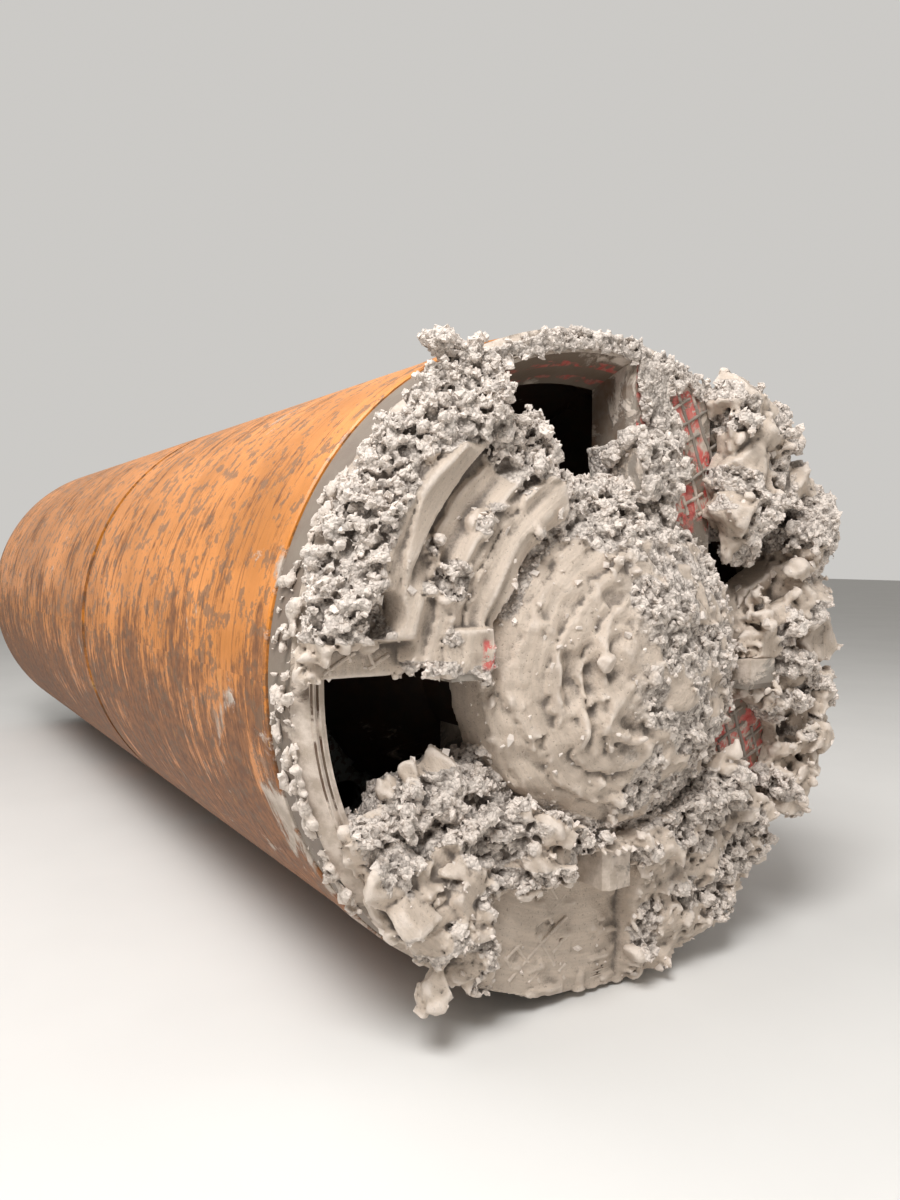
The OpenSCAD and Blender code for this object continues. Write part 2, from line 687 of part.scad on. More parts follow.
// Oil tank with its lid, and on the lid the motor, the pump and a filter
module power_pack() {
    w = tank_wall;
    tank_h = unit_h * 0.62;
    lid_t = 16;
    motor_d = unit_d - 40;
    z0 = axis_z + unit_low;
    top = z0 + tank_h + seat + lid_t;
    axle_y = unit_in + unit_d / 2;
    axle_z = top + motor_d / 2 - 10;
    x0 = face_x - unit_front - unit_len;
    motor_x = x0 + unit_len - 400;
    color("steelblue") {
        difference() {
            translate([x0, unit_in, z0 + seat]) cube([unit_len, unit_d, tank_h - seat]);
            translate([x0 + w, unit_in + w, z0 + w]) cube([unit_len - 2 * w, unit_d - 2 * w, tank_h]);
        }
        translate([x0, unit_in, z0 + tank_h + seat]) cube([unit_len, unit_d, lid_t]);
        translate([motor_x, axle_y, axle_z]) rotate([0, 90, 0]) cylinder(h = 370, d = motor_d, $fn = 48);
        for (k = [0:11]) translate([motor_x + 60, axle_y, axle_z]) rotate([30 * k + 15, 0, 0])
            translate([0, -3, motor_d / 2 - 2]) cube([250, 6, 9]);
        translate([motor_x + 20, axle_y - 65, top - 1]) cube([320, 130, 40]);
        translate([motor_x - 60, axle_y, axle_z]) rotate([0, 90, 0]) cylinder(h = 70, d = 120, $fn = 48);
        translate([motor_x - 150, axle_y - 45, axle_z - 45]) cube([95, 90, 90]);
        translate([motor_x - 130, axle_y - 30, top - 1]) cube([60, 60, 60]);
        translate([x0 + 46, axle_y, top - 1]) cylinder(h = 130, d = 70, $fn = 32);
        translate([x0 + 46, axle_y, top + 110]) cylinder(h = 24, d = 80, $fn = 32);
    }
}

// Control cabinet, open towards the walkway
module cabinet() {
    w = cabinet_wall;
    z0 = axis_z + unit_low;
    x0 = face_x - unit_front - unit_len;
    color("lightgray") {
        difference() {
            translate([x0, -unit_in - unit_d, z0 + seat]) cube([unit_len, unit_d, unit_h]);
            translate([x0 + w, -unit_in - unit_d + w, z0 + w]) cube([unit_len - 2 * w, unit_d, unit_h - 2 * w]);
        }
        for (z = [136, unit_h - 64]) {
            translate([x0 + 12, -unit_in + 2 + w, z0 + z]) cylinder(h = 44, r = 9, $fn = 32);
            translate([x0 + 12, -unit_in + 2 + w, z0 + z - 60]) cylinder(h = 70, r = 4, $fn = 32);
            translate([x0 + 4, -unit_in - w + 1, z0 + z]) cube([8, 2 * w + 1, 44]);
        }
        for (row = [[70, 90, 30], [190, 90, 80], [330, 70, 50]])
            translate([x0 + 60, -unit_in - unit_d + w - 1, z0 + row[0]]) cube([unit_len - 120, row[2], row[1]]);
    }
}

module cabinet_door() {
    w = cabinet_wall;
    gap = 2;
    z0 = axis_z + unit_low;
    x0 = face_x - unit_front - unit_len;
    hinge_r = 9;
    color("lightgray") {
        translate([x0 + 26, -unit_in + gap, z0 + 8]) cube([unit_len - 34, w, unit_h - 16]);
        for (z = [70, unit_h - 130]) difference() {
            union() {
                translate([x0 + 12, -unit_in + gap + w, z0 + z]) cylinder(h = 60, r = hinge_r, $fn = 32);
                translate([x0 + 12, -unit_in + gap + w - 5, z0 + z]) cube([30, 10, 60]);
            }
            translate([x0 + 12, -unit_in + gap + w, z0 + z - 1]) cylinder(h = 62, r = 4.1, $fn = 32);
        }
        translate([x0 + unit_len - 90, -unit_in + gap + w - 1, z0 + unit_h / 2 - 60]) cube([22, 26, 120]);
    }
}

// Brackets that carry the tank and the cabinet on the skin
module unit_shelves() {
    t = 20;
    color("lightgray") intersection() {
        for (side = [-1, 1]) for (s = [unit_front + 110, unit_front + unit_len - 130]) {
            translate([face_x - s - t, min(side * (unit_in - 10), side * bore_r), axis_z + unit_low - t])
                cube([90, bore_r - unit_in + 10, t]);
            translate([face_x - s, 0, axis_z + unit_low - t]) rotate([90, 0, -90]) linear_extrude(height = t)
                polygon([[-side * (unit_in - 10), 0], [-side * bore_r, 0], [-side * bore_r, -200]]);
        }
        along(rear_start, rear_end, 2 * (bore_r - seat), fn = turn_fn);
    }
}

// One slurry line of the rear shield: bell, pipe, valve and end flange
module slurry_line(side) {
    bell_front = pivot - 80;
    bell_back = pivot + 60;
    valve_s = pivot + 1900;
    y = side * pipe_y;
    difference() {
        union() {
            along(bell_front, bell_back, pipe_d + 62, y, -pipe_drop);
            along(bell_back - 20, pipe_end, pipe_d, y, -pipe_drop);
            for (s = [bell_back - 12, valve_s - 90, valve_s + 60]) along(s, s + 24, pipe_d + 60, y, -pipe_drop);
            along(valve_s - 60, valve_s + 60, pipe_d + 36, y, -pipe_drop);
            translate([face_x - valve_s, y - 24 * side, axis_z - pipe_drop]) cylinder(h = 128, d = 50, $fn = 32);
            along(pipe_end - 26, pipe_end, flange_d, y, -pipe_drop);
        }
        along(bell_front - 1, bell_back - 18, pipe_d + 38, y, -pipe_drop);
        along(bell_back - 30, pipe_end + 1, pipe_d - 2 * pipe_t, y, -pipe_drop);
        for (k = [0:flange_holes - 1]) along(pipe_end - 27, pipe_end + 1, flange_hole_d,
            y + flange_pcd / 2 * cos(360 / flange_holes * (k + 0.5)),
            -pipe_drop + flange_pcd / 2 * sin(360 / flange_holes * (k + 0.5)), 24);
    }
}

module tail_spigot() {
    groove0 = tail - 86;
    groove1 = tail - 58;
    in_r = spigot_r - spigot_t;
    color("silver") turned([[rear_end - 52, bore_r - seat], [rear_end - 52, in_r], [tail, in_r],
        [tail, spigot_r - 6], [tail - 6, spigot_r], [groove1, spigot_r], [groove1, spigot_r - 14],
        [groove0, spigot_r - 14], [groove0, spigot_r], [rear_end + seat, spigot_r],
        [rear_end + seat, spigot_r + 2], [rear_end - 4, bore_r - seat]]);
}

module tail_seal() {
    groove0 = tail - 86;
    groove1 = tail - 58;
    color("black") ring(groove0 + seat, groove1 - seat, spigot_r - 14 + seat, spigot_r - 1);
}

// Work lamp under the crown of the rear shield
module lamp() {
    s = rear_start + 900;
    color("white") intersection() {
        union() {
            translate([face_x - s - 140, -50, axis_z + bore_r - 70]) cube([280, 100, 70]);
            translate([face_x - s - 120, -36, axis_z + bore_r - 92]) cube([240, 72, 30]);
        }
        along(rear_start, rear_end, 2 * (bore_r - seat), fn = turn_fn);
    }
}

head_rim();
for (i = [1:4]) head_arm(i);
hub_nose();
teeth();
arm_gussets();
crusher_cone();
clay_cap();
clay_side_arm();
clay_low_arm();
clay_far_lumps();
clay_crest();
front_skin();
wear_band();
chamber_liner();
bulkhead();
drive_housing();
drive_motors();
front_frame();
front_lines();
laser_target();
joint_ring();
for (k = [0:3]) {
    rod(k);
    barrel(k);
}
rear_skin();
ball_collar();
rear_frames();
walkway();
power_pack();
cabinet();
cabinet_door();
unit_shelves();
color("silver") slurry_line(-1);  // feed_line
color("silver") slurry_line(1);  // discharge_line
tail_spigot();
tail_seal();
lamp();
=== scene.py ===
"""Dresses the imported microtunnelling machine: the caked clay, hardfacing, welds, bolts and finishes."""

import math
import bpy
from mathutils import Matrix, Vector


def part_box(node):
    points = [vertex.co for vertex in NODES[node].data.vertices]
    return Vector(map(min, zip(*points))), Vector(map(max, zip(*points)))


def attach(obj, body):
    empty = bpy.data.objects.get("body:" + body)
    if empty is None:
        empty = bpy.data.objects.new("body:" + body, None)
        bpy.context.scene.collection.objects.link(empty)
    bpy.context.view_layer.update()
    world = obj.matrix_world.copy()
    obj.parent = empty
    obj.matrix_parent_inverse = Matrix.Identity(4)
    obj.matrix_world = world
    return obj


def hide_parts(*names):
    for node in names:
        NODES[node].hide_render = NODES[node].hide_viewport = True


bl_info = {
    "name": "Microtunnelling machine",
    "version": (1, 1, 0),
    "blender": (4, 5, 0),
    "location": "View3D > Sidebar > Tunnelling",
    "description": "Builds the looks of a clay-caked tunnelling shield round its packed frame",
    "category": "Object",
}

import bpy
import numpy as np
from mathutils import Vector

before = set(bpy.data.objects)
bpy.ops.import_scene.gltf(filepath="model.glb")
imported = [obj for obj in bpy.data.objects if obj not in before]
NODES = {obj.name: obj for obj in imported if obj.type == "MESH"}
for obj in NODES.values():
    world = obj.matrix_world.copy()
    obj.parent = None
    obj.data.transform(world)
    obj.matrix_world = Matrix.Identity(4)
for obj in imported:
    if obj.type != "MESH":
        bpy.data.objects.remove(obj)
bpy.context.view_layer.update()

FACE_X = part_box("arm_1")[1].x  # the cutterhead's face plane
AXIS_Z = (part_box("wear_band")[0].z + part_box("wear_band")[1].z) / 2
RIM_R = (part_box("head_rim")[1].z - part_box("head_rim")[0].z) / 2
RIM_FRONT_R = RIM_R - 0.054  # inner edge of the rim's flat front
HUB_R = 0.300
ARM_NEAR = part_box("arm_1")[0].y
ARM_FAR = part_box("arm_1")[1].y
HEAD_DEPTH = 0.130
DRIVE_FLANGE, DRIVE_BOLT_R = 1.060, 0.405  # behind the face plane, and the radius of its bolts


# ---------------------------------------------------------------- settings


class ClaySettings(bpy.types.PropertyGroup):
    cell: bpy.props.FloatProperty(
        name="Cell", description="Size of the cells that the clay is shaped in", default=0.0062, min=0.003,
        unit="LENGTH")
    crumb_small: bpy.props.FloatProperty(
        name="Smallest crumb", description="Radius of the smallest loose crumbs", default=0.0030, min=0.001,
        unit="LENGTH")
    crumb_large: bpy.props.FloatProperty(
        name="Largest crumb", description="Radius of the largest loose crumbs", default=0.0105, min=0.002,
        unit="LENGTH")
    crumb_density: bpy.props.FloatProperty(
        name="Crumb density", description="Loose crumbs on each square metre of broken clay", default=3500.0, min=0)
    pale: bpy.props.FloatVectorProperty(
        name="Pale clay", description="Colour of the clay where it has broken and dried",
        default=(0.745, 0.660, 0.590), subtype="COLOR", size=3, min=0, max=1)
    smear: bpy.props.FloatVectorProperty(
        name="Smeared clay", description="Colour of the clay where it is smeared smooth",
        default=(0.560, 0.462, 0.375), subtype="COLOR", size=3, min=0, max=1)
    # Painted shade: the gap colour darkens the clay's cracks, pits and hollows, where shade falls, and also darkens
    # some of its random tones
    gap: bpy.props.FloatVectorProperty(
        name="Clay in gaps", description="Colour of the shaded clay down in its gaps", default=(0.100, 0.078, 0.062),
        subtype="COLOR", size=3, min=0, max=1)


class FinishSettings(bpy.types.PropertyGroup):
    shield: bpy.props.FloatVectorProperty(
        name="Shield paint", description="Colour of the paint on the shields", default=(0.600, 0.205, 0.022),
        subtype="COLOR", size=3, min=0, max=1)
    marker: bpy.props.FloatVectorProperty(
        name="Marking paint", description="Colour of the paint left on the head", default=(0.600, 0.085, 0.075),
        subtype="COLOR", size=3, min=0, max=1)
    bead_width: bpy.props.FloatProperty(
        name="Bead width", description="Width of a hardfacing bead", default=0.0090, min=0.002, unit="LENGTH")
    bead_pitch: bpy.props.FloatProperty(
        name="Bead pitch", description="Distance between hardfacing beads", default=0.043, min=0.01, unit="LENGTH")
    bolt_size: bpy.props.FloatProperty(
        name="Bolt size", description="Width across the corners of a bolt's head", default=0.030, min=0.008,
        unit="LENGTH")


class StageSettings(bpy.types.PropertyGroup):
    floor_colour: bpy.props.FloatVectorProperty(
        name="Floor", description="Colour of the floor and backdrop", default=(0.70, 0.685, 0.66),
        subtype="COLOR", size=3, min=0, max=1)
    lens: bpy.props.FloatProperty(
        name="Lens", description="Focal length on a frame 36 mm high", default=27.0, min=10)


# ---------------------------------------------------------------- small helpers


def from_numpy(name, verts, faces=None, edges=None):
    """A mesh object from an array of points and an array of quads or triangles, or of edges, or neither."""
    mesh = bpy.data.meshes.new(name)
    mesh.vertices.add(len(verts))
    mesh.vertices.foreach_set("co", np.asarray(verts, np.float32).ravel())
    if faces is not None:
        sides = faces.shape[1]
        mesh.loops.add(faces.size)
        mesh.loops.foreach_set("vertex_index", faces.astype(np.int32).ravel())
        mesh.polygons.add(len(faces))
        mesh.polygons.foreach_set("loop_start", np.arange(0, faces.size, sides, dtype=np.int32))
        mesh.polygons.foreach_set("loop_total", np.full(len(faces), sides, np.int32))
    if edges is not None:
        mesh.edges.add(len(edges))
        mesh.edges.foreach_set("vertices", np.asarray(edges, np.int32).ravel())
    mesh.update(calc_edges=faces is not None)
    if faces is not None:
        mesh.validate()
    piece = bpy.data.objects.new(name, mesh)
    bpy.context.scene.collection.objects.link(piece)
    return piece


def mark(piece, name, values, kind="FLOAT"):
    """Stores one value for each point of a piece under a name."""
    layer = piece.data.attributes.new(name, kind, "POINT")
    layer.data.foreach_set("value" if kind == "FLOAT" else "vector", np.asarray(values, np.float32).ravel())


def finish_piece(piece, body, replaced=()):
    """Lets a finished piece ride on its body and hides the parts that it replaces."""
    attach(piece, body)
    if replaced:
        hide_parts(*replaced)
    print(piece.name, sum(len(p.vertices) - 2 for p in piece.data.polygons), "triangles")
    return piece


def to_world(points):
    """From the head's frame (ahead of the face, sideways, up from the axis) to the row's frame."""
    return points + np.array([FACE_X, 0.0, AXIS_Z])


# ---------------------------------------------------------------- node trees for what repeats


class Tree:
    """Builds one Geometry Nodes tree in a few calls, with a named input for each size."""

    KINDS = {float: "NodeSocketFloat", int: "NodeSocketInt", type(None): "NodeSocketMaterial"}

    def __init__(self, name, **sizes):
        self.group = bpy.data.node_groups.new(name, "GeometryNodeTree")
        sockets = self.group.interface
        sockets.new_socket("Geometry", in_out="INPUT", socket_type="NodeSocketGeometry")
        for key, value in sizes.items():
            made = sockets.new_socket(key, in_out="INPUT", socket_type=self.KINDS[type(value)])
            if value is not None:
                made.default_value = value
        sockets.new_socket("Geometry", in_out="OUTPUT", socket_type="NodeSocketGeometry")
        self.start = self.group.nodes.new("NodeGroupInput")

    def size(self, name):
        return self.start.outputs[name]

    def add(self, kind, settings=None, **inputs):
        """Adds a node and gives its first output; an underscore in a socket's name stands for a space."""
        made = self.group.nodes.new(kind)
        for key, value in (settings or {}).items():
            setattr(made, key, value)
        for key, value in inputs.items():
            socket = next(s for s in made.inputs if s.enabled and s.name == key.replace("_", " "))
            for one in value if isinstance(value, list) else [value]:
                if hasattr(one, "is_output"):
                    self.group.links.new(one, socket)
                else:
                    socket.default_value = one
        return next(s for s in made.outputs if s.enabled)

    def math(self, operation, *values):
        made = self.group.nodes.new("ShaderNodeMath")
        made.operation = operation
        for socket, value in zip(made.inputs, values):
            if hasattr(value, "is_output"):
                self.group.links.new(value, socket)
            else:
                socket.default_value = value
        return made.outputs[0]

    def scaled(self, vector, by):
        made = self.group.nodes.new("ShaderNodeVectorMath")
        made.operation = "SCALE"
        self.group.links.new(vector, made.inputs[0])
        if hasattr(by, "is_output"):
            self.group.links.new(by, made.inputs["Scale"])
        else:
            made.inputs["Scale"].default_value = by
        return made.outputs[0]

    def random(self, low, high, seed, kind="FLOAT"):
        return self.add("FunctionNodeRandomValue", {"data_type": kind}, Min=low, Max=high, Seed=seed)

    def jolt(self, scale, amount, w=0.0):
        """A smooth random offset for each point."""
        noise = self.add("ShaderNodeTexNoise", {"noise_dimensions": "4D"}, W=w, Scale=scale, Detail=1.0)
        centred = self.group.nodes.new("ShaderNodeVectorMath")
        centred.operation = "SUBTRACT"
        self.group.links.new(noise.node.outputs["Color"], centred.inputs[0])
        centred.inputs[1].default_value = (0.5, 0.5, 0.5)
        return self.scaled(centred.outputs[0], amount)

    def done(self, geometry):
        """Ends the tree: real geometry with its material."""
        real = self.add("GeometryNodeRealizeInstances", Geometry=geometry)
        painted = self.add("GeometryNodeSetMaterial", Geometry=real, Material=self.size("Material"))
        self.group.links.new(painted, self.group.nodes.new("NodeGroupOutput").inputs[0])
        return self


def grow(piece, tree, **sizes):
    """Turns what a tree makes of a piece into the piece's plain mesh."""
    modifier = piece.modifiers.new(tree.group.name, "NODES")
    modifier.node_group = tree.group
    for socket in tree.group.interface.items_tree:
        if socket.in_out == "INPUT" and socket.name in sizes:
            modifier[socket.identifier] = sizes[socket.name]
    depsgraph = bpy.context.evaluated_depsgraph_get()
    mesh = bpy.data.meshes.new_from_object(piece.evaluated_get(depsgraph), preserve_all_data_layers=True,
                                           depsgraph=depsgraph)
    piece.modifiers.clear()
    piece.data = mesh
    return piece


def crumb_tree():
    """Leaves a piece as it is and strews loose crumbs over it, as many as its "strewn" attribute asks for."""
    t = Tree("loose_crumbs", Density=3500.0, Smallest=0.0030, Largest=0.0105, Seed=5, Material=None)
    body = t.size("Geometry")
    strewn = t.add("GeometryNodeInputNamedAttribute", {"data_type": "FLOAT"}, Name="strewn")
    dots = t.add("GeometryNodeDistributePointsOnFaces", Mesh=body, Seed=t.size("Seed"),
                 Density=t.math("MULTIPLY", strewn, t.size("Density")))
    chips = []
    for k in range(5):
        block = t.add("GeometryNodeMeshCube", Size=(1.35, 1.35, 1.35))
        bent = t.add("GeometryNodeSetPosition", Geometry=block, Offset=t.jolt(1.7, 2.2, 7.3 * k))
        hull = t.add("GeometryNodeConvexHull", Geometry=bent)
        chips.append(t.add("GeometryNodeGeometryToInstance", Geometry=hull))
    share = t.math("POWER", t.random(0.0, 1.0, 21), 3.2)
    more = t.math("SUBTRACT", t.size("Largest"), t.size("Smallest"))
    size = t.math("ADD", t.size("Smallest"), t.math("MULTIPLY", share, more))
    stretch = t.random((0.65, 0.65, 0.40), (1.35, 1.35, 0.95), 22, "FLOAT_VECTOR")
    turns = t.add("FunctionNodeEulerToRotation", Euler=t.random((0, 0, 0), (6.28, 6.28, 6.28), 24, "FLOAT_VECTOR"))
    laid = t.add("GeometryNodeInstanceOnPoints", Points=dots, Pick_Instance=True, Rotation=turns,
                 Instance=t.add("GeometryNodeJoinGeometry", Geometry=chips),
                 Instance_Index=t.random(0, 4, 23, "INT"), Scale=t.scaled(stretch, size))
    toned = t.add("GeometryNodeStoreNamedAttribute", {"data_type": "FLOAT", "domain": "INSTANCE"},
                  Geometry=laid, Name="tone", Value=t.random(0.40, 1.0, 25))
    flat = t.add("GeometryNodeSetShadeSmooth", Geometry=t.add("GeometryNodeRealizeInstances", Geometry=toned),
                 Shade_Smooth=False)
    return t.done(t.add("GeometryNodeJoinGeometry", Geometry=[body, flat]))


def bead_tree():
    """Lays a rough weld bead along every edge of a piece."""
    t = Tree("weld_beads", Width=0.009, Step=0.007, Roughness=0.004, Material=None)
    path = t.add("GeometryNodeResampleCurve", {"mode": "LENGTH"}, Length=t.size("Step"),
                 Curve=t.add("GeometryNodeMeshToCurve", Mesh=t.size("Geometry")))
    profile = t.add("GeometryNodeCurvePrimitiveCircle", Radius=t.math("MULTIPLY", t.size("Width"), 0.5), Resolution=6)
    tube = t.add("GeometryNodeCurveToMesh", Curve=path, Profile_Curve=profile, Fill_Caps=True)
    rough = t.add("GeometryNodeSetPosition", Geometry=tube, Offset=t.jolt(90.0, t.size("Roughness")))
    return t.done(t.add("GeometryNodeSetShadeSmooth", Geometry=rough, Shade_Smooth=True))


def bolt_tree():
    """Sets a hexagon bolt on a washer at every point, along its "facing" attribute."""
    t = Tree("hexagon_bolts", Size=0.030, Material=None)
    size = t.size("Size")
    head = t.add("GeometryNodeMeshCylinder", Vertices=6, Radius=t.math("MULTIPLY", size, 0.5),
                 Depth=t.math("MULTIPLY", size, 1.1))
    washer = t.add("GeometryNodeMeshCylinder", Vertices=16, Radius=t.math("MULTIPLY", size, 0.68),
                   Depth=t.math("MULTIPLY", size, 0.3))
    bolt = t.add("GeometryNodeJoinGeometry", Geometry=[head, washer])
    facing = t.add("GeometryNodeInputNamedAttribute", {"data_type": "FLOAT_VECTOR"}, Name="facing")
    turn = t.add("FunctionNodeAlignRotationToVector", {"axis": "Z"}, Vector=facing)
    placed = t.add("GeometryNodeInstanceOnPoints", Points=t.size("Geometry"), Instance=bolt, Rotation=turn)
    real = t.add("GeometryNodeRealizeInstances", Geometry=placed)
    return t.done(t.add("GeometryNodeSetShadeSmooth", Geometry=real, Shade_Smooth=False))


# ---------------------------------------------------------------- shaped clay


class Field:
    """A box of cells in the head's frame that holds a shape's distance in each cell, under 0 inside."""

    def __init__(self, low, high, cell, seed):
        self.cell = cell
        self.rng = np.random.default_rng(seed)
        self.axes = [np.arange(a, b + cell, cell) for a, b in zip(low, high)]
        self.shape = tuple(len(a) for a in self.axes)
        self.x = self.axes[0][:, None, None]
        self.y, self.z = np.meshgrid(self.axes[1], self.axes[2], indexing="ij")
        self.r = np.hypot(self.y, self.z)
        self.bearing = np.degrees(np.arctan2(self.z, self.y)) % 360
        self.f = np.full(self.shape, 1.0, np.float32)

    def add(self, other):
        np.minimum(self.f, other.astype(np.float32), out=self.f)

    def cut(self, other):
        np.maximum(self.f, -other.astype(np.float32), out=self.f)

    def slab(self, side, front, back):
        """Adds the space inside an outline between two fronts, given over the cross section or as one number."""
        front, back = np.asarray(front)[None], np.asarray(back)[None]
        self.add(np.maximum(np.maximum(self.x - front, back - self.x), side[None]))

    def noise(self, step, seed):
        """Smooth random values from -1 to 1 over the cells; step is one size or one for each axis."""
        steps = (step,) * 3 if np.isscalar(step) else step
        weights = [blend_weights(a, s) for a, s in zip(self.axes, steps)]
        lattice = np.random.default_rng(seed).uniform(-1, 1, [w.shape[1] for w in weights])
        out = np.tensordot(weights[2], lattice, axes=(1, 2))
        out = np.tensordot(weights[1], out, axes=(1, 2))
        out = np.tensordot(weights[0], out, axes=(1, 2))
        return out.astype(np.float32)

    def wave(self, step_y, step_z, seed):
        """Smooth random values from -1 to 1 over the cross section."""
        return smooth_noise(self.y, self.z, step_y, step_z, seed)

    def spots(self, *places):
        """1 at places in the cross section (sideways, up, radius), down to 0 at the radius round each."""
        return np.max([1 - ramp(np.hypot(self.y - y, self.z - z), 0.55 * radius, radius)
                       for y, z, radius in places], axis=0)

    def clod(self, centre, size, sides=9, flat=(1, 1, 1), least=0.5):
        """Adds one broken lump: the space inside a few random planes."""
        reach = size * 1.5 * max(flat)
        spans = []
        for axis, c in zip(self.axes, centre):
            i0, i1 = np.searchsorted(axis, [c - reach, c + reach])
            if i1 - i0 < 2:
                return
            spans.append(slice(i0, i1))
        dx = (self.axes[0][spans[0]] - centre[0])[:, None, None] / flat[0]
        dy = (self.axes[1][spans[1]] - centre[1])[None, :, None] / flat[1]
        dz = (self.axes[2][spans[2]] - centre[2])[None, None, :] / flat[2]
        normals = self.rng.normal(size=(sides, 3))
        normals /= np.linalg.norm(normals, axis=1)[:, None]
        depth = np.sqrt(dx * dx + dy * dy + dz * dz) - size * 1.3
        for n in normals:
            depth = np.maximum(depth, n[0] * dx + n[1] * dy + n[2] * dz - size * self.rng.uniform(least, 1.0))
        block = self.f[spans[0], spans[1], spans[2]]
        np.minimum(block, depth.astype(np.float32), out=block)

    def strew(self, crumbly, front, count, sizes, spread=0.006, sides=8):
        """Adds broken lumps over a front, where the clay is crumbly; small ones are the most frequent."""
        rng, front = self.rng, np.broadcast_to(front, crumbly.shape)
        weights = np.clip(crumbly, 0, 1).ravel().cumsum()
        for at in np.searchsorted(weights, rng.uniform(0, weights[-1], count)):
            i, j = np.unravel_index(at, crumbly.shape)
            size = sizes[0] + (sizes[1] - sizes[0]) * rng.random() ** 2.2
            ahead = front[i, j] + rng.normal(0, spread) - 0.25 * size
            self.clod((ahead, self.axes[1][i] + rng.normal(0, 0.002), self.axes[2][j] + rng.normal(0, 0.002)),
                      size, sides=sides, flat=rng.uniform(0.6, 1.25, 3))

    def shatter(self, size, crumbly, rise, gap, seed):
        """Breaks the clay near its skin into angular blocks that stand out unevenly, with gaps between them."""
        near = np.argwhere((np.abs(self.f) < rise + gap + 2 * self.cell) & (crumbly[None] > 0.03))
        place = near * (self.cell / size)
        corner = np.floor(place).astype(int)
        rng = np.random.default_rng(seed)
        lattice = rng.random(tuple(corner.max(axis=0) + 3) + (4,)).astype(np.float32)
        first = np.full(len(near), 9.0, np.float32)
        second, height = first.copy(), np.zeros(len(near), np.float32)
        for step in np.ndindex(3, 3, 3):
            at = corner + np.array(step)
            seeds = lattice[at[:, 0], at[:, 1], at[:, 2]]
            far = np.sqrt(((at - 1 + seeds[:, :3] - place) ** 2).sum(axis=1)).astype(np.float32)
            closer = far < first
            second = np.where(closer, first, np.minimum(second, far))
            height = np.where(closer, seeds[:, 3], height)
            first = np.where(closer, far, first)
        push = rise * (2 * height - 1) + gap * (1 - np.clip((second - first) / 0.30, 0, 1))
        self.f[tuple(near.T)] += np.clip(crumbly, 0, 1)[near[:, 1], near[:, 2]].astype(np.float32) * push

    def sample(self, values, points):
        """Values over the cross section, read at points."""
        i = np.clip(((points[:, 1] - self.axes[1][0]) / self.cell).astype(int), 0, values.shape[0] - 1)
        j = np.clip(((points[:, 2] - self.axes[2][0]) / self.cell).astype(int), 0, values.shape[1] - 1)
        return values[i, j]

    def surface(self, crumbly, least=0.1):
        """The skin of the shape without stray lumps: points, quads, and how crumbly and how hollow each point is."""
        inside = self.f < 0
        inside[[0, -1]] = False
        inside[:, [0, -1]] = False
        inside[:, :, [0, -1]] = False
        f = np.where(inside, self.f, np.maximum(self.f, 1e-5))
        cells = tuple(n - 1 for n in self.shape)
        owner, where, quads = [], [], []
        for a in range(3):
            b, c = (a + 1) % 3, (a + 2) % 3
            first = [slice(None)] * 3
            second = [slice(None)] * 3
            first[a], second[a] = slice(0, -1), slice(1, None)
            lower, upper = inside[tuple(first)], inside[tuple(second)]
            at = np.argwhere(lower != upper)
            f0 = f[tuple(first)][tuple(at.T)]
            f1 = f[tuple(second)][tuple(at.T)]
            point = at.astype(float)
            point[:, a] += f0 / (f0 - f1)
            ring = []
            for db, dc in ((-1, -1), (0, -1), (0, 0), (-1, 0)):
                cell = at.copy()
                cell[:, b] += db
                cell[:, c] += dc
                ring.append(np.ravel_multi_index(tuple(cell.T), cells))
                owner.append(ring[-1])
                where.append(point)
            ring = np.stack(ring, 1)
            turned = ~lower[tuple(at.T)]
            ring[turned] = ring[turned][:, ::-1]
            quads.append(ring)
        owner, where, quads = np.concatenate(owner), np.concatenate(where), np.concatenate(quads)
        used, index = np.unique(owner, return_inverse=True)
        count = np.bincount(index)
        points = np.stack([np.bincount(index, where[:, k]) / count for k in range(3)], 1)
        quads = np.searchsorted(used, quads)
        points = points * self.cell + np.array([a[0] for a in self.axes])
        points, quads = largest_lumps(points, quads, least)
        broken = np.clip(self.sample(np.broadcast_to(crumbly, self.y.shape), points), 0, 1)
        for _ in range(2):
            points = relax(points, quads, (0.28 * (1 - broken) + 0.04)[:, None])
        even = points
        for _ in range(14):
            even = relax(even, quads, 1.0)
        across = np.cross(points[quads[:, 2]] - points[quads[:, 0]], points[quads[:, 3]] - points[quads[:, 1]])
        outward = np.stack([np.bincount(quads.ravel(), np.repeat(across[:, k], 4),
                                        minlength=len(points)) for k in range(3)], 1)
        outward /= np.linalg.norm(outward, axis=1)[:, None] + 1e-12
        return points, quads, broken, ((even - points) * outward).sum(axis=1)


def blend_weights(coords, step):
    """Matrix that carries values on a coarse lattice to the given coordinates, smoothly."""
    t = (coords - coords[0]) / step
    i = np.floor(t).astype(int)
    u = t - i
    w = u * u * (3 - 2 * u)
    matrix = np.zeros((len(coords), i[-1] + 2))
    rows = np.arange(len(coords))
    matrix[rows, i] = 1 - w
    matrix[rows, i + 1] = w
    return matrix


def largest_lumps(points, quads, least):
    """Drops every loose lump with less than a share of the points."""
    label = np.arange(len(points))
    while True:
        low = label[quads].min(axis=1)
        new = label.copy()
        np.minimum.at(new, quads.ravel(), np.repeat(low, 4))
        new = new[new]
        if (new == label).all():
            break
        label = new
    sizes = np.bincount(label, minlength=len(points))
    keep = sizes[label] > least * len(points)
    renumber = np.cumsum(keep) - 1
    quads = quads[keep[quads[:, 0]]]
    return points[keep], renumber[quads]


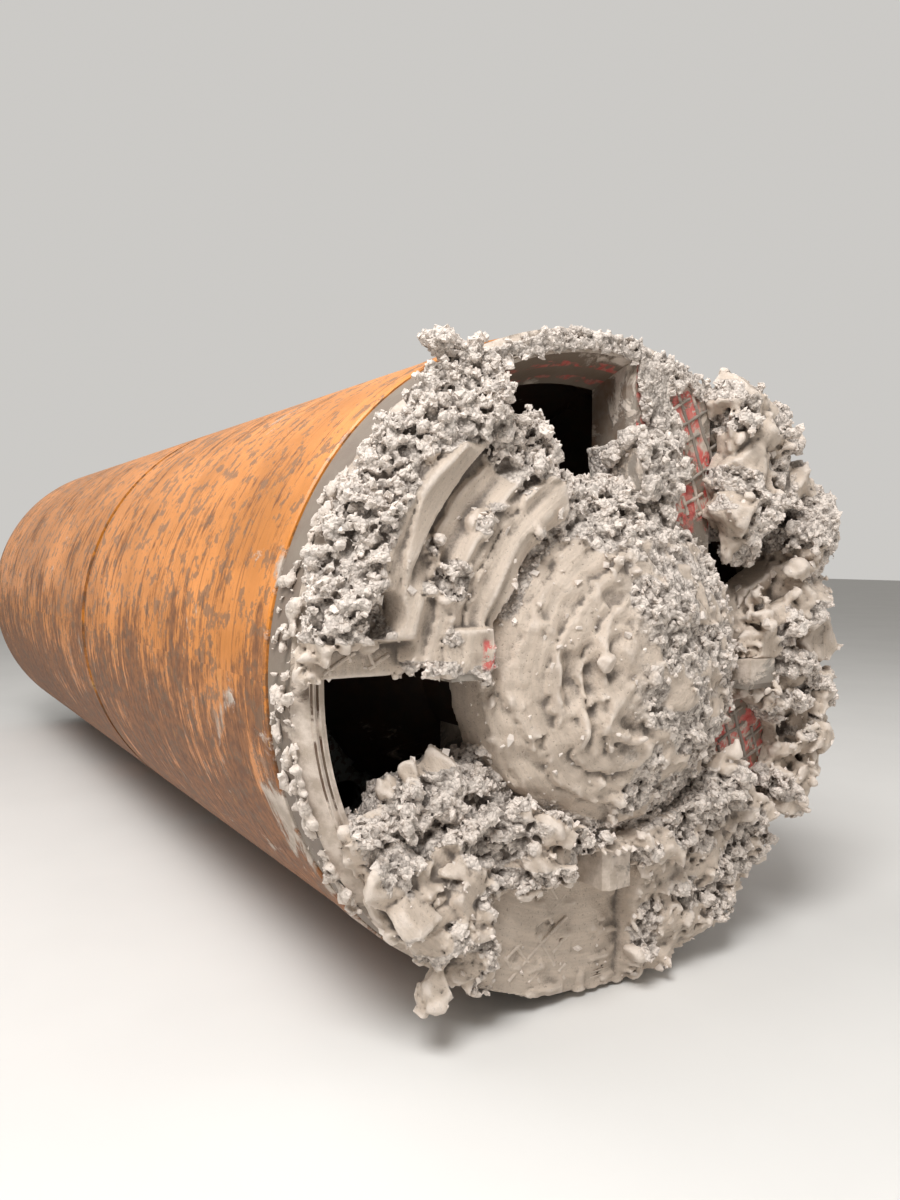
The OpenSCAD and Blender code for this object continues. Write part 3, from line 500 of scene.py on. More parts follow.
def relax(points, quads, share):
    """Moves each point some way to the middle of its neighbours."""
    a = quads.ravel()
    b = np.roll(quads, -1, axis=1).ravel()
    both, other = np.concatenate([a, b]), np.concatenate([b, a])
    count = np.bincount(both, minlength=len(points))
    middle = np.stack([np.bincount(both, points[other, k], minlength=len(points)) / count for k in range(3)], 1)
    return points + share * (middle - points)


def smooth_noise(u, v, step_u, step_v, seed):
    """Smooth random values from -1 to 1 for arrays of two coordinates."""
    rng = np.random.default_rng(seed)
    a, b = (u - u.min()) / step_u, (v - v.min()) / step_v
    i, j = np.floor(a).astype(int), np.floor(b).astype(int)
    lattice = rng.uniform(-1, 1, (i.max() + 2, j.max() + 2))
    p, q = a - i, b - j
    p, q = p * p * (3 - 2 * p), q * q * (3 - 2 * q)
    return ((lattice[i, j] * (1 - p) + lattice[i + 1, j] * p) * (1 - q)
            + (lattice[i, j + 1] * (1 - p) + lattice[i + 1, j + 1] * p) * q)


def swipes(r, bearing, pitch, length, seed):
    """Smeared ridges that run round a centre, from -1 in the grooves to 1 on sharp crests."""
    wander = 0.6 * pitch * smooth_noise(bearing, r, 30.0, 4 * pitch, seed + 1)
    return 1 - 2.6 * np.abs(smooth_noise(r + wander, bearing, pitch, length, seed))


def outline_distance(y, z, outline):
    """Signed distance to a closed outline in the cross section, under 0 inside."""
    points = np.array(outline)
    best = np.full(y.shape, 1e9)
    inside = np.zeros(y.shape, bool)
    for (ay, az), (by, bz) in zip(points, np.roll(points, -1, axis=0)):
        ey, ez = by - ay, bz - az
        t = np.clip(((y - ay) * ey + (z - az) * ez) / (ey * ey + ez * ez), 0, 1)
        best = np.minimum(best, np.hypot(y - ay - t * ey, z - az - t * ez))
        if ez:
            inside ^= ((az > z) != (bz > z)) & (y < (z - az) * ey / ez + ay)
    return np.where(inside, -best, best)


def arc(radius, start, end, count=9):
    """Points on a circle about the axis, by bearing in degrees from the machine's left, counted upwards."""
    return [(radius * math.cos(math.radians(t)), radius * math.sin(math.radians(t)))
            for t in np.linspace(start, end, count)]


def ramp(value, low, high):
    """0 below low, 1 above high, smooth between them."""
    t = np.clip((value - low) / (high - low), 0, 1)
    return t * t * (3 - 2 * t)


def arm_footprint(y, z):
    """Signed distance to the four arms and the hub in the cross section."""
    best = np.hypot(y, z) - HUB_R
    for k in range(4):
        c, s = round(math.cos(k * math.pi / 2)), round(math.sin(k * math.pi / 2))
        side, out = c * y + s * z, -s * y + c * z
        middle, half = (ARM_NEAR + ARM_FAR) / 2, (ARM_FAR - ARM_NEAR) / 2
        best = np.minimum(best, np.maximum(np.abs(side - middle) - half, 0.2 - out))
    return best


def steel_front(y, z):
    """Where the steel's front lies, ahead of the face plane: the nose, the arms and the rim, else far back."""
    r = np.hypot(y, z)
    nose = np.interp(r, [0, 0.09, 0.16, 0.266, 0.30], [0.096, 0.096, 0.069, 0.012, 0.0])
    front = np.where(arm_footprint(y, z) < 0.0, 0.0, -0.108)
    front = np.where(r > RIM_FRONT_R, 0.0, front)
    return np.where(r < HUB_R, nose, front)


def clear_steel(field, teeth):
    """Cuts the arms, the hub, the rim and the rooms of the cutting teeth out of the clay."""
    y, z = field.y, field.z
    field.cut(np.maximum(arm_footprint(y, z)[None] - 0.0008, field.x - (steel_front(y, z) + 0.0006)[None]))
    r = field.r[None]
    inner = np.interp(-field.x, [0, HEAD_DEPTH], [RIM_R - 0.056, RIM_R - 0.102])
    outer = np.interp(-field.x, [0, 0.026], [RIM_R - 0.026, RIM_R])
    field.cut(np.maximum(np.maximum(inner - r, r - outer), field.x))
    for arm in teeth:
        c, s = round(math.cos(arm * math.pi / 2)), round(math.sin(arm * math.pi / 2))
        side, out = c * y + s * z, -s * y + c * z
        for near, middle, ahead in ((ARM_NEAR - 0.036, 0.43, 0.1), (ARM_FAR + 0.036, 0.45, 0.05)):
            flat = np.maximum(np.abs(side - near) - 0.037, np.abs(out - middle) - 0.046)
            field.cut(np.maximum(flat[None], np.maximum(field.x - ahead, -0.072 - field.x)))


def shape_cap(cell):
    """The mound on the hub: smeared layers to one side, broken clay heaped on top and below."""
    field = Field((-0.09, -0.42, -0.42), (0.215, 0.42, 0.47), cell * 0.93, 11)
    y, z, r, bearing = field.y, field.z, field.r, field.bearing
    r2, turn = np.hypot(y + 0.05, z - 0.02), np.degrees(np.arctan2(z - 0.02, y + 0.05) + 2.6) % 360
    edge = 0.366 + 0.012 * smooth_noise(bearing, r, 9.0, 1.0, 3)
    dome = np.interp(r, [0, .10, .16, .22, .28, .33, .368], [.186, .184, .172, .150, .120, .088, .050])
    patch = field.wave(0.075, 0.06, 14)
    crumbly = np.maximum(ramp(z, 0.24, 0.31) * ramp(y, -0.27, -0.21),
                         0.9 * ramp(patch, 0.05, 0.40) * ramp(y, -0.12, 0.05))
    crumbly = np.maximum(crumbly,
                         field.spots((-0.03, 0.155, 0.06), (-0.105, 0.318, 0.09), (-0.213, 0.345, 0.07),
                                     (0.17, -0.18, 0.07), (0.24, 0.20, 0.07), (-0.02, -0.27, 0.06),
                                     (0.10, -0.30, 0.08), (0.02, 0.02, 0.035)))
    crumbly = np.maximum(crumbly, ramp(r, 0.325, 0.35) * ramp(np.abs(bearing - 195), 25, 45))
    crumbly = np.maximum(crumbly,
                         (0.22 + 0.40 * ramp(y, -0.16, 0.02)) * ramp(field.wave(0.035, 0.035, 16), -0.7, 0.4))
    smooth = 1 - crumbly
    swiped = 0.0115 * swipes(r2, turn, 0.052, 42.0, 5) + 0.0018 * swipes(r2, turn, 0.017, 24.0, 6)
    dome = dome + smooth * ramp(r, 0.05, 0.16) * swiped
    dome += 0.010 * field.wave(0.10, 0.06, 9) + 0.004 * field.wave(0.022, 0.022, 10)
    layer = r2 / 0.070 + 0.55 * smooth_noise(turn, r2, 26.0, 0.2, 7) + 0.10 * smooth_noise(turn, r2, 5.0, 0.1, 8)
    dome += 0.015 * smooth * ramp(r, 0.10, 0.19) * (layer % 1.0 - 0.5)
    fold = np.abs(y + 0.175 + 0.25 * (z + 0.06) ** 2)
    dome -= 0.016 * (1 - ramp(fold, 0.004, 0.018)) * (1 - ramp(np.abs(z + 0.045), 0.08, 0.13))
    back = steel_front(y, z) + 0.001
    back = np.where(r > HUB_R, np.maximum(back, -0.07), back)
    field.slab(r - edge, np.maximum(dome, 0.012), back)
    top_line = np.interp(y, [-0.226, -0.189, -0.152, -0.085, -0.039, -0.004, 0.03, 0.10],
                         [.41, .394, .411, .419, .404, .414, .365, .35])
    heap = np.maximum(z - top_line + 0.016, np.maximum(0.30 - z, np.abs(y + 0.06) - 0.17))
    field.slab(heap, 0.070 + 0.03 * field.wave(0.05, 0.05, 15) - 0.3 * np.clip(z - 0.34, 0, 1), 0.001)
    on_heap = (heap < 0.012) * 1.0
    field.strew(on_heap, 0.075 - 0.5 * np.clip(z - 0.33, 0, 1), 260, (0.008, 0.027), spread=0.016)
    field.strew(crumbly * (r < 0.355), dome, 620, (0.006, 0.019), spread=0.004)
    rim_band = (np.abs(r - 0.352) < 0.014) * (1 - 0.9 * ramp(70 - np.abs(bearing - 180), 0, 20))
    field.strew(rim_band, 0.035, 260, (0.008, 0.022), spread=0.022)
    field.shatter(0.030, np.maximum(crumbly, on_heap), 0.0055, 0.0070, 23)
    field.shatter(0.015, np.maximum(crumbly, on_heap), 0.0022, 0.0030, 24)
    field.f += 0.0016 * field.noise(0.012, 22) * (0.4 + crumbly)[None].astype(np.float32)
    clear_steel(field, ())
    return field.surface(np.maximum(crumbly, on_heap))


def shape_side_arm(cell):
    """The slab on the side arm: swiped grooves round the axis, broken clay along the rim, a clean lip below."""
    field = Field((-0.115, -0.775, -0.02), (0.145, -0.165, 0.765), cell, 12)
    y, z, r, bearing = field.y, field.z, field.r, field.bearing
    outline = ([(-0.744, 0.022), (-0.560, 0.018), (-0.535, 0.036), (-0.470, 0.030), (-0.462, 0.004),
                (-0.415, 0.022), (-0.385, 0.002), (-0.373, 0.020)]
               + arc(0.376, 175, 121, 9)
               + [(-0.196, 0.400), (-0.222, 0.440), (-0.205, 0.480), (-0.240, 0.520), (-0.300, 0.512),
                  (-0.352, 0.486), (-0.330, 0.520), (-0.338, 0.560), (-0.330, 0.605), (-0.368, 0.640)]
               + arc(0.748, 119, 177, 10))
    side = outline_distance(y, z, outline) + 0.006 * field.wave(0.022, 0.022, 31) * ramp(z, 0.03, 0.10)
    limit = np.interp(bearing, [115, 131, 134, 141, 148, 153, 159, 168, 174, 180],
                      [.585, .605, .635, .665, .660, .660, .655, .600, .570, .54])
    limit = limit + 0.012 * smooth_noise(bearing, r, 3.0, 1.0, 30)
    crumbly = ramp(r - limit, -0.012, 0.010)
    crumbly = np.maximum(crumbly,
                         field.spots((-0.464, 0.194, 0.050), (-0.597, 0.387, 0.055), (-0.703, 0.198, 0.05),
                                     (-0.615, 0.115, 0.045), (-0.735, 0.12, 0.05), (-0.245, 0.47, 0.07),
                                     (-0.30, 0.48, 0.06), (-0.215, 0.43, 0.05), (-0.40, 0.30, 0.025),
                                     (-0.50, 0.26, 0.02)))
    crumbly = np.maximum(crumbly, 0.6 * ramp(field.wave(0.05, 0.05, 29), 0.55, 0.8))
    lip = (1 - ramp(z, 0.080, 0.094)) * (1 - ramp(y, -0.555, -0.530))
    crumbly *= 1 - lip
    smooth = 1 - crumbly
    wandered = r + 0.010 * smooth_noise(bearing, r, 14.0, 0.2, 32)
    height = np.interp(wandered, [.376, .42, .47, .50, .52, .575, .584, .590, .64, .68, .70, .745],
                       [.104, .106, .090, .098, .074, .062, .066, .095, .098, .082, .066, .040])
    flatter = ramp(bearing, 154, 164)
    height = height * (1 - flatter) + (0.087 - 0.05 * ramp(r, 0.68, 0.745)) * flatter
    height += smooth * (0.0095 * swipes(r, bearing, 0.044, 36.0, 33) + 0.0020 * swipes(r, bearing, 0.015, 18.0, 34))
    height += 0.008 * field.wave(0.09, 0.09, 35)
    layer = r / 0.078 + 0.50 * smooth_noise(bearing, r, 22.0, 0.2, 36) + 0.10 * smooth_noise(bearing, r, 4.0, 0.1, 37)
    height += 0.012 * smooth * (layer % 1.0 - 0.5)
    hollow = np.hypot((y + 0.61) / 0.046, (z - 0.137) / 0.052)
    height += (0.020 - height) * (1 - ramp(hollow, 0.75, 1.0))
    height = height * (1 - lip) + lip * 0.024
    back = steel_front(y, z) + 0.0008
    back = np.where((z < ARM_NEAR) & (r < 0.69), -0.022, back)
    back = np.where((arm_footprint(y, z) > 0) & (r < 0.69) & (z > ARM_FAR), -0.098, back)
    field.slab(side, height, back)
    near_side = (side < 0.004) * 1.0
    field.strew(crumbly * near_side, height, 1150, (0.006, 0.024), spread=0.006)
    top = near_side * (1 - ramp(bearing, 128, 133)) * (r > 0.47)
    field.strew(top, 0.03, 420, (0.009, 0.029), spread=0.040)
    rim_edge = near_side * (r > 0.715)
    field.strew(rim_edge, 0.028, 420, (0.007, 0.020), spread=0.016)
    post = np.where((np.abs(y + 0.43) < 0.056) & (z < 0.11), 0.106, -0.2)
    field.slab(side, post + 0.006 * field.wave(0.02, 0.02, 38), back)
    lower = (np.abs(side) < 0.012) * (z < 0.07) * (y > -0.55)
    field.strew(lower * 1.0, 0.060, 110, (0.007, 0.017), spread=0.034)
    field.clod((0.02, -0.43, 0.655), 0.040, flat=(1, 1.3, 0.8))
    field.clod((0.055, -0.36, 0.585), 0.050, flat=(1, 0.8, 1.1))
    field.clod((0.045, -0.222, 0.442), 0.034, flat=(1.3, 1, 1))
    field.clod((0.05, -0.325, 0.519), 0.026)
    loose = np.maximum(crumbly, 0.9 * np.maximum(top, lower))
    field.shatter(0.032, loose, 0.0065, 0.0080, 43)
    field.shatter(0.015, loose, 0.0024, 0.0032, 44)
    field.f += 0.0016 * field.noise(0.012, 42) * (0.3 + crumbly)[None].astype(np.float32)
    clear_steel(field, ())
    return field.surface(np.maximum(crumbly, np.maximum(top, lower * 0.8)))


def shape_low_arm(cell):
    """The mass round the low arm: flat-faced broken clay, a filmed face and the heap in the opening beside it."""
    field = Field((-0.115, -0.755, -0.755), (0.165, 0.66, -0.095), cell, 13)
    y, z, r = field.y, field.z, field.r
    outline = (arc(0.356, 222, 322, 12) + [(0.40, -0.30), (0.47, -0.37), (0.52, -0.43)] + arc(0.742, 320, 214, 18)
               + [(-0.60, -0.36), (-0.50, -0.32), (-0.40, -0.27)])
    side = outline_distance(y, z, outline) + 0.010 * field.wave(0.035, 0.035, 51)
    left = -0.375 + 0.20 * np.clip(-z - 0.405, 0, 1)
    face = ramp(y, left, left + 0.014) * (1 - ramp(y, 0.030, 0.055))
    face *= ramp(-z - 0.02 * field.wave(0.03, 0.5, 50), 0.425, 0.440)
    height = 0.074 + 0.042 * (1 - ramp(r, 0.40, 0.50)) - 0.034 * ramp(r, 0.66, 0.745)
    shelves = field.wave(0.070, 0.050, 52)
    height += 0.022 * (np.floor(shelves * 3) / 3 + 0.15 * shelves) + 0.006 * field.wave(0.03, 0.03, 53)
    film = 0.0088 + 0.0026 * field.wave(0.06, 0.04, 54) + 0.0016 * smooth_noise(y + z, y - z, 0.014, 0.06, 57)
    film += 0.007 * ramp(field.wave(0.030, 0.018, 58), 0.45, 0.60)
    height = height * (1 - face) + face * film
    crumbly = 0.25 + 0.75 * ramp(field.wave(0.060, 0.045, 56), -0.25, 0.20)
    for where in ((-0.60, -0.42, 0.07), (-0.50, -0.50, 0.05), (-0.42, -0.60, 0.05)):
        crumbly = crumbly * (1 - 0.9 * field.spots(where))
    crumbly = crumbly * (1 - face) + 0.14 * face * ramp(field.wave(0.05, 0.05, 59), 0.0, 0.5)
    back = steel_front(y, z) + 0.0008
    field.slab(side, height, back)
    line = np.array([(-0.72, -0.285), (-0.627, -0.255), (-0.59, -0.262), (-0.539, -0.203), (-0.481, -0.195),
                     (-0.41, -0.173), (-0.335, -0.162), (-0.257, -0.150), (-0.20, -0.13)])
    in_heap = np.maximum(z - np.interp(y, line[:, 0], line[:, 1]), np.where(y < -0.2, r - 0.70, 1.0))
    in_heap = np.maximum(in_heap, HUB_R + 0.001 - r)
    heap_front = 0.012 + 0.026 * field.wave(0.07, 0.07, 55)
    field.slab(in_heap, heap_front, -0.100)
    shown = (side < 0.004) * (1 - face)
    on_heap = (in_heap < 0.010) * (side > -0.02) * 1.0
    field.strew(on_heap * ramp(in_heap, -0.12, 0.0), heap_front, 330, (0.009, 0.030), spread=0.020)
    field.clod((0.006, -0.430, -0.222), 0.070, sides=24, flat=(0.85, 0.68, 1.10), least=0.85)
    field.strew(crumbly * shown, height, 1250, (0.006, 0.024), spread=0.006)
    shelf = shown * (r < 0.47) * (r > 0.38)
    field.strew(shelf * 1.0, height, 260, (0.011, 0.030), spread=0.014)
    bank = (np.abs(y + 0.395) < 0.035) * (z < -0.42) * shown
    field.strew(bank * 1.0, height - 0.03, 60, (0.010, 0.024), spread=0.016, sides=7)
    for ahead, cy, cz, size in ((0.060, -0.59, -0.37, 0.046), (0.070, -0.53, -0.45, 0.050),
                                (0.060, -0.46, -0.53, 0.048), (0.050, -0.47, -0.60, 0.045),
                                (0.075, -0.43, -0.43, 0.046), (0.050, -0.54, -0.34, 0.040)):
        field.clod((ahead - 0.010, cy, cz), size, sides=8, flat=(0.8, 1.1, 1.0), least=0.45)
    brow = (np.abs(z + 0.415) < 0.02) * (y > -0.33) * (y < 0.06)
    field.strew(brow * 1.0, 0.075, 120, (0.010, 0.026), spread=0.022)
    loose = np.maximum(np.maximum(crumbly, 0.25 * (1 - face)), np.maximum(on_heap, brow))
    field.shatter(0.036, loose, 0.0075, 0.0095, 63)
    field.shatter(0.016, loose, 0.0026, 0.0034, 64)
    field.f += 0.0016 * field.noise(0.012, 62) * (0.3 + crumbly)[None].astype(np.float32)
    clear_steel(field, (2, 3))
    field.cut(np.maximum(np.maximum(np.abs(y + 0.080) - 0.085, np.abs(z + 0.440) - 0.056)[None], 0.018 - field.x))
    field.cut((r - 0.350)[None])
    return field.surface(np.maximum(np.where(face > 0.5, crumbly, crumbly * shown), np.maximum(0.8 * on_heap, brow)))


def shape_far_lumps(cell):
    """The broken lumps on the far side of the head, flat-faced, with hollows between them."""
    field = Field((-0.09, 0.285, -0.44), (0.170, 0.775, 0.71), cell, 14)
    y, z, r, bearing = field.y, field.z, field.r, field.bearing
    signed = np.where(bearing > 180, bearing - 360, bearing)
    bearings = [-36, -20, -12, 0, 12, 20, 22, 33, 36, 48, 50, 60]
    inner = np.interp(signed, bearings, [.62, .60, .43, .41, .43, .47, .62, .62, .46, .47, .63, .64])
    side = np.maximum(np.maximum(inner - r, r - 0.736), np.maximum(-34 - signed, signed - 58) * 0.012)
    base = 0.045 + 0.020 * field.wave(0.08, 0.08, 71)
    back = np.where(r > RIM_FRONT_R, 0.001, -0.055)
    field.slab(side, base, back)
    lumps = ((.045, .395, .625, .066), (.060, .46, .575, .072), (.050, .525, .505, .066), (.070, .37, .545, .050),
             (.060, .375, .455, .064), (.072, .355, .345, .068), (.050, .40, .265, .054), (.055, .455, .40, .058),
             (.085, .655, .345, .072), (.095, .615, .270, .060), (.070, .585, .42, .056), (.075, .60, .135, .078),
             (.080, .675, .06, .066), (.060, .50, .06, .074), (.070, .565, -.04, .068), (.065, .66, -.115, .064),
             (.050, .455, -.035, .052), (.065, .66, -.215, .058), (.060, .615, -.365, .060),
             (.055, .655, -.315, .055))
    for ahead, cy, cz, size in lumps:
        field.clod((ahead - 0.010, cy, cz), size, sides=9, flat=(0.95, 1.0, 1.1), least=0.62)
    for cy, cz, size in ((0.523, -0.088, 0.030), (0.650, -0.276, 0.026), (0.545, 0.25, 0.03), (0.62, 0.21, 0.022)):
        field.cut(np.maximum(np.hypot(y - cy, z - cz)[None] - size, 0.012 - field.x))
    crumbly = 0.15 + 0.85 * ramp(field.wave(0.045, 0.045, 73), -0.05, 0.25)
    front = 0.095 - 0.05 * ramp(r, 0.68, 0.75)
    shown = (side < 0.006) * 1.0
    field.strew(crumbly * shown, front, 620, (0.007, 0.028), spread=0.022)
    edge = shown * (np.abs(side) < 0.02)
    field.strew(edge, 0.055, 520, (0.008, 0.026), spread=0.028)
    field.shatter(0.040, 0.35 + 0.65 * crumbly, 0.0085, 0.0110, 83)
    field.shatter(0.017, 0.25 + 0.75 * crumbly, 0.0026, 0.0036, 84)
    field.f += 0.0022 * field.noise(0.013, 82) * (0.4 + crumbly)[None].astype(np.float32)
    clear_steel(field, (0, 3))
    return field.surface(0.85 * crumbly)


def shape_crest(cell):
    """Crumbs left along the top of the rim and down the upright arm."""
    field = Field((-0.090, -0.34, 0.34), (0.140, 0.40, 0.765), cell * 0.95, 15)
    y, z, r, bearing = field.y, field.z, field.r, field.bearing
    strip = np.maximum(np.maximum(0.696 - r, r - 0.730), np.maximum(59 - bearing, bearing - 118) * 0.01)
    thin = 0.008 + 0.007 * smooth_noise(bearing, r, 4.0, 0.02, 91)
    field.slab(strip, thin, 0.0006)
    field.strew((strip < 0.004) * 1.0, thin, 420, (0.005, 0.014), spread=0.003)
    patch = outline_distance(y, z,
                             [(0.104, 0.70), (0.200, 0.68), (0.205, 0.585), (0.255, 0.49), (0.245, 0.36),
                              (0.20, 0.352), (0.104, 0.352)])
    patch = patch + 0.014 * field.wave(0.03, 0.03, 94)
    film = 0.010 + 0.010 * field.wave(0.05, 0.05, 95)
    field.slab(patch, np.maximum(film, 0.003), 0.0006)
    field.strew((patch < 0.002) * ramp(field.wave(0.05, 0.04, 96), -0.3, 0.3), film, 420, (0.005, 0.017),
                spread=0.004)
    knob = np.maximum(np.abs(y - 0.066) - 0.050, np.abs(z - 0.430) - 0.056) + 0.008 * field.wave(0.03, 0.03, 97)
    field.slab(knob, 0.104 + 0.012 * field.wave(0.03, 0.03, 98), -0.075)
    field.strew((np.abs(knob) < 0.016) * 1.0, 0.050, 190, (0.008, 0.020), spread=0.036)
    field.strew((knob < 0.0) * 1.0, 0.106, 60, (0.008, 0.018), spread=0.006)
    field.f += 0.0014 * field.noise(0.010, 92)
    clear_steel(field, ())
    return field.surface(0.60, least=0.004)


def shape_rim_crumbs(cell):
    """Crumbs stuck on the outside of the rim and in the gap behind it, low on the near side."""
    field = Field((-0.120, -0.775, -0.52), (0.030, -0.50, 0.44), cell, 16)
    rng = field.rng
    for _ in range(230):
        bearing, radius = math.radians(rng.uniform(148, 216)), rng.uniform(0.740, 0.7525)
        size = 0.005 + 0.012 * rng.random() ** 2
        ahead = -0.006 - 0.10 * rng.random() ** 1.6 * (1 if math.degrees(bearing) > 160 else 0.5)
        field.clod((ahead, radius * math.cos(bearing), radius * math.sin(bearing)), size, sides=6,
                   flat=rng.uniform(0.6, 1.3, 3), least=0.35)
    field.cut((field.r - (RIM_R + 0.0004))[None])
    return field.surface(0.45, least=0.0)


# ---------------------------------------------------------------- beads and bolts


def bead_lines(outline, lean, pitch, ahead, seed, worn=0.25, step=0.012):
    """Crossing lines of hardfacing inside an outline in the cross section, broken where they have worn off."""
    rng = np.random.default_rng(seed)
    points, edges = [], []
    middle = np.mean(outline, axis=0)
    for turn in (math.radians(lean), math.radians(lean + 90)):
        along, across = np.array([math.cos(turn), math.sin(turn)]), np.array([-math.sin(turn), math.cos(turn)])
        for offset in np.arange(-0.6, 0.6, pitch):
            steps = np.arange(-0.6, 0.6, step)
            bend = 0.002 * np.interp(steps, np.arange(-0.6, 0.7, 0.05), rng.normal(size=26))
            line = middle + steps[:, None] * along + (offset + bend + rng.normal(0, 0.002))[:, None] * across
            kept = outline_distance(line[:, 0], line[:, 1], outline) < 0
            kept &= np.interp(steps, np.arange(-0.6, 0.7, 0.04), rng.random(33)) > worn
            index = len(points) + np.cumsum(kept) - 1
            points.extend([(ahead, *p) for p in line[kept]])
            edges.extend([(index[k], index[k + 1]) for k in range(len(steps) - 1) if kept[k] and kept[k + 1]])
    return np.array(points), edges


def ring_of(station, radius, count, facing, start=0.0):
    """Places of bolts round the axis, at a station behind the face plane, and the way that they face."""
    turns = np.radians(start + 360.0 * np.arange(count) / count)
    places = np.stack([np.full(count, -station), radius * np.cos(turns), radius * np.sin(turns)], 1)
    return to_world(places), np.tile(facing, (count, 1))


def flange_bolts(x, y, z, facing, count=8, radius=0.090):
    turns = np.radians(22.5 + 360.0 * np.arange(count) / count)
    places = np.stack([np.full(count, x), y + radius * np.cos(turns), z + radius * np.sin(turns)], 1)
    return places, np.tile(facing, (count, 1))


# ---------------------------------------------------------------- materials


def shade(colour, by, plus=0.0):
    """A colour made darker or lighter, up to full."""
    return tuple(min(1.0, by * c + plus) for c in colour)


def blended(one, share_one, other, share_other):
    """Shares of two colours added up."""
    return tuple(share_one * a + share_other * b for a, b in zip(one, other))


class Shader:
    """Builds one node material in a few calls."""

    def __init__(self, name, rough=0.6, metal=0.0):
        self.material = bpy.data.materials.new(name)
        self.material.use_nodes = True
        self.tree = self.material.node_tree
        self.out = self.tree.nodes["Principled BSDF"]
        self.out.inputs["Roughness"].default_value = rough
        self.out.inputs["Metallic"].default_value = metal
        self.place = self.node("ShaderNodeTexCoord").outputs["Object"]

    def node(self, kind, **settings):
        made = self.tree.nodes.new(kind)
        for key, value in settings.items():
            setattr(made, key, value)
        return made

    def link(self, source, target):
        if hasattr(source, "is_output"):
            self.tree.links.new(source, target)
        elif hasattr(target.default_value, "__len__") and not hasattr(source, "__len__"):
            target.default_value = [source] * len(target.default_value)
        elif hasattr(source, "__len__") and len(source) == 3 and len(target.default_value) == 4:
            target.default_value = (*source, 1)
        else:
            target.default_value = source

    def stretched(self, scale, centre=(0, 0, 0)):
        mapping = self.node("ShaderNodeMapping")
        mapping.inputs["Location"].default_value = [-c * s for c, s in zip(centre, scale)]
        mapping.inputs["Scale"].default_value = scale
        self.link(self.place, mapping.inputs["Vector"])
        return mapping.outputs["Vector"]

    def split(self, vector=None):
        made = self.node("ShaderNodeSeparateXYZ")
        self.link(vector or self.place, made.inputs[0])
        return made.outputs

    def polar(self):
        """Distance from the machine's axis and the angle round it."""
        place = self.split()
        high = self.math("SUBTRACT", place[2], AXIS_Z)
        out = self.math("SQRT", self.plus(self.times(high, high), self.times(place[1], place[1])))
        return out, self.math("ARCTAN2", high, place[1])

    def streaks(self, detail, rough, along, across, turn):
        """Noise that follows the machine's skin, by its scales along it, out from the axis and round it."""
        out, angle = self.polar()
        joined = self.node("ShaderNodeCombineXYZ")
        for part, scale, target in zip((self.split()[0], out, angle), (along, across, turn), joined.inputs):
            self.link(self.times(part, scale), target)
        return self.noise(1.0, detail, rough, vector=joined.outputs[0])

    def noise(self, scale, detail=4.0, rough=0.55, vector=None, distortion=0.0):
        made = self.node("ShaderNodeTexNoise")
        made.inputs["Scale"].default_value = scale
        made.inputs["Detail"].default_value = detail
        made.inputs["Roughness"].default_value = rough
        made.inputs["Distortion"].default_value = distortion
        self.link(vector or self.place, made.inputs["Vector"])
        return made.outputs["Fac"]

    def cells(self, scale, feature="F1", vector=None, output="Distance"):
        made = self.node("ShaderNodeTexVoronoi", feature=feature)
        made.inputs["Scale"].default_value = scale
        self.link(vector or self.place, made.inputs["Vector"])
        return made.outputs[output]

    def value(self, name):
        """What a piece stores for each point under a name."""
        return self.node("ShaderNodeAttribute", attribute_name=name).outputs["Fac"]

    def math(self, operation, a, b=0.0, clamp=False):
        made = self.node("ShaderNodeMath", operation=operation, use_clamp=clamp)
        self.link(a, made.inputs[0])
        self.link(b, made.inputs[1])
        return made.outputs[0]

    def times(self, a, b):
        return self.math("MULTIPLY", a, b)

    def plus(self, a, b):
        return self.math("ADD", a, b)

    def ramp(self, value, low, high, start=0.0, end=1.0):
        made = self.node("ShaderNodeMapRange", interpolation_type="SMOOTHSTEP")
        self.link(value, made.inputs["Value"])
        for key, number in (("From Min", low), ("From Max", high), ("To Min", start), ("To Max", end)):
            made.inputs[key].default_value = number
        return made.outputs["Result"]

    def mix(self, share, a, b):
        made = self.node("ShaderNodeMix", data_type="RGBA")
        self.link(share, made.inputs["Factor"])
        self.link(a, made.inputs[6])
        self.link(b, made.inputs[7])
        return made.outputs[2]

    def mottle(self, scale, detail, rough, low, high, a, b):
        """One colour that passes into another in patches, where a noise goes from low to high."""
        return self.mix(self.ramp(self.noise(scale, detail, rough), low, high), a, b)

    def facing(self, axis):
        """How far the surface faces along an axis of the machine, from -1 to 1."""
        return self.split(self.node("ShaderNodeNewGeometry").outputs["Normal"])[axis]

    def edges(self, low=0.50, high=0.58):
        """1 on worn outer edges, 0 in hollows, by the mesh's own curvature."""
        return self.ramp(self.node("ShaderNodeNewGeometry").outputs["Pointiness"], low, high)

    def bump(self, height, distance, strength=1.0, after=None):
        made = self.node("ShaderNodeBump")
        made.inputs["Strength"].default_value = strength
        made.inputs["Distance"].default_value = distance
        self.link(height, made.inputs["Height"])
        if after is not None:
            self.link(after, made.inputs["Normal"])
        return made.outputs[0]

    def done(self, colour, rough=None, normal=None, metal=None):
        for name, value in (("Base Color", colour), ("Roughness", rough), ("Normal", normal), ("Metallic", metal)):
            if value is not None:
                self.link(value, self.out.inputs[name])
        return self.material


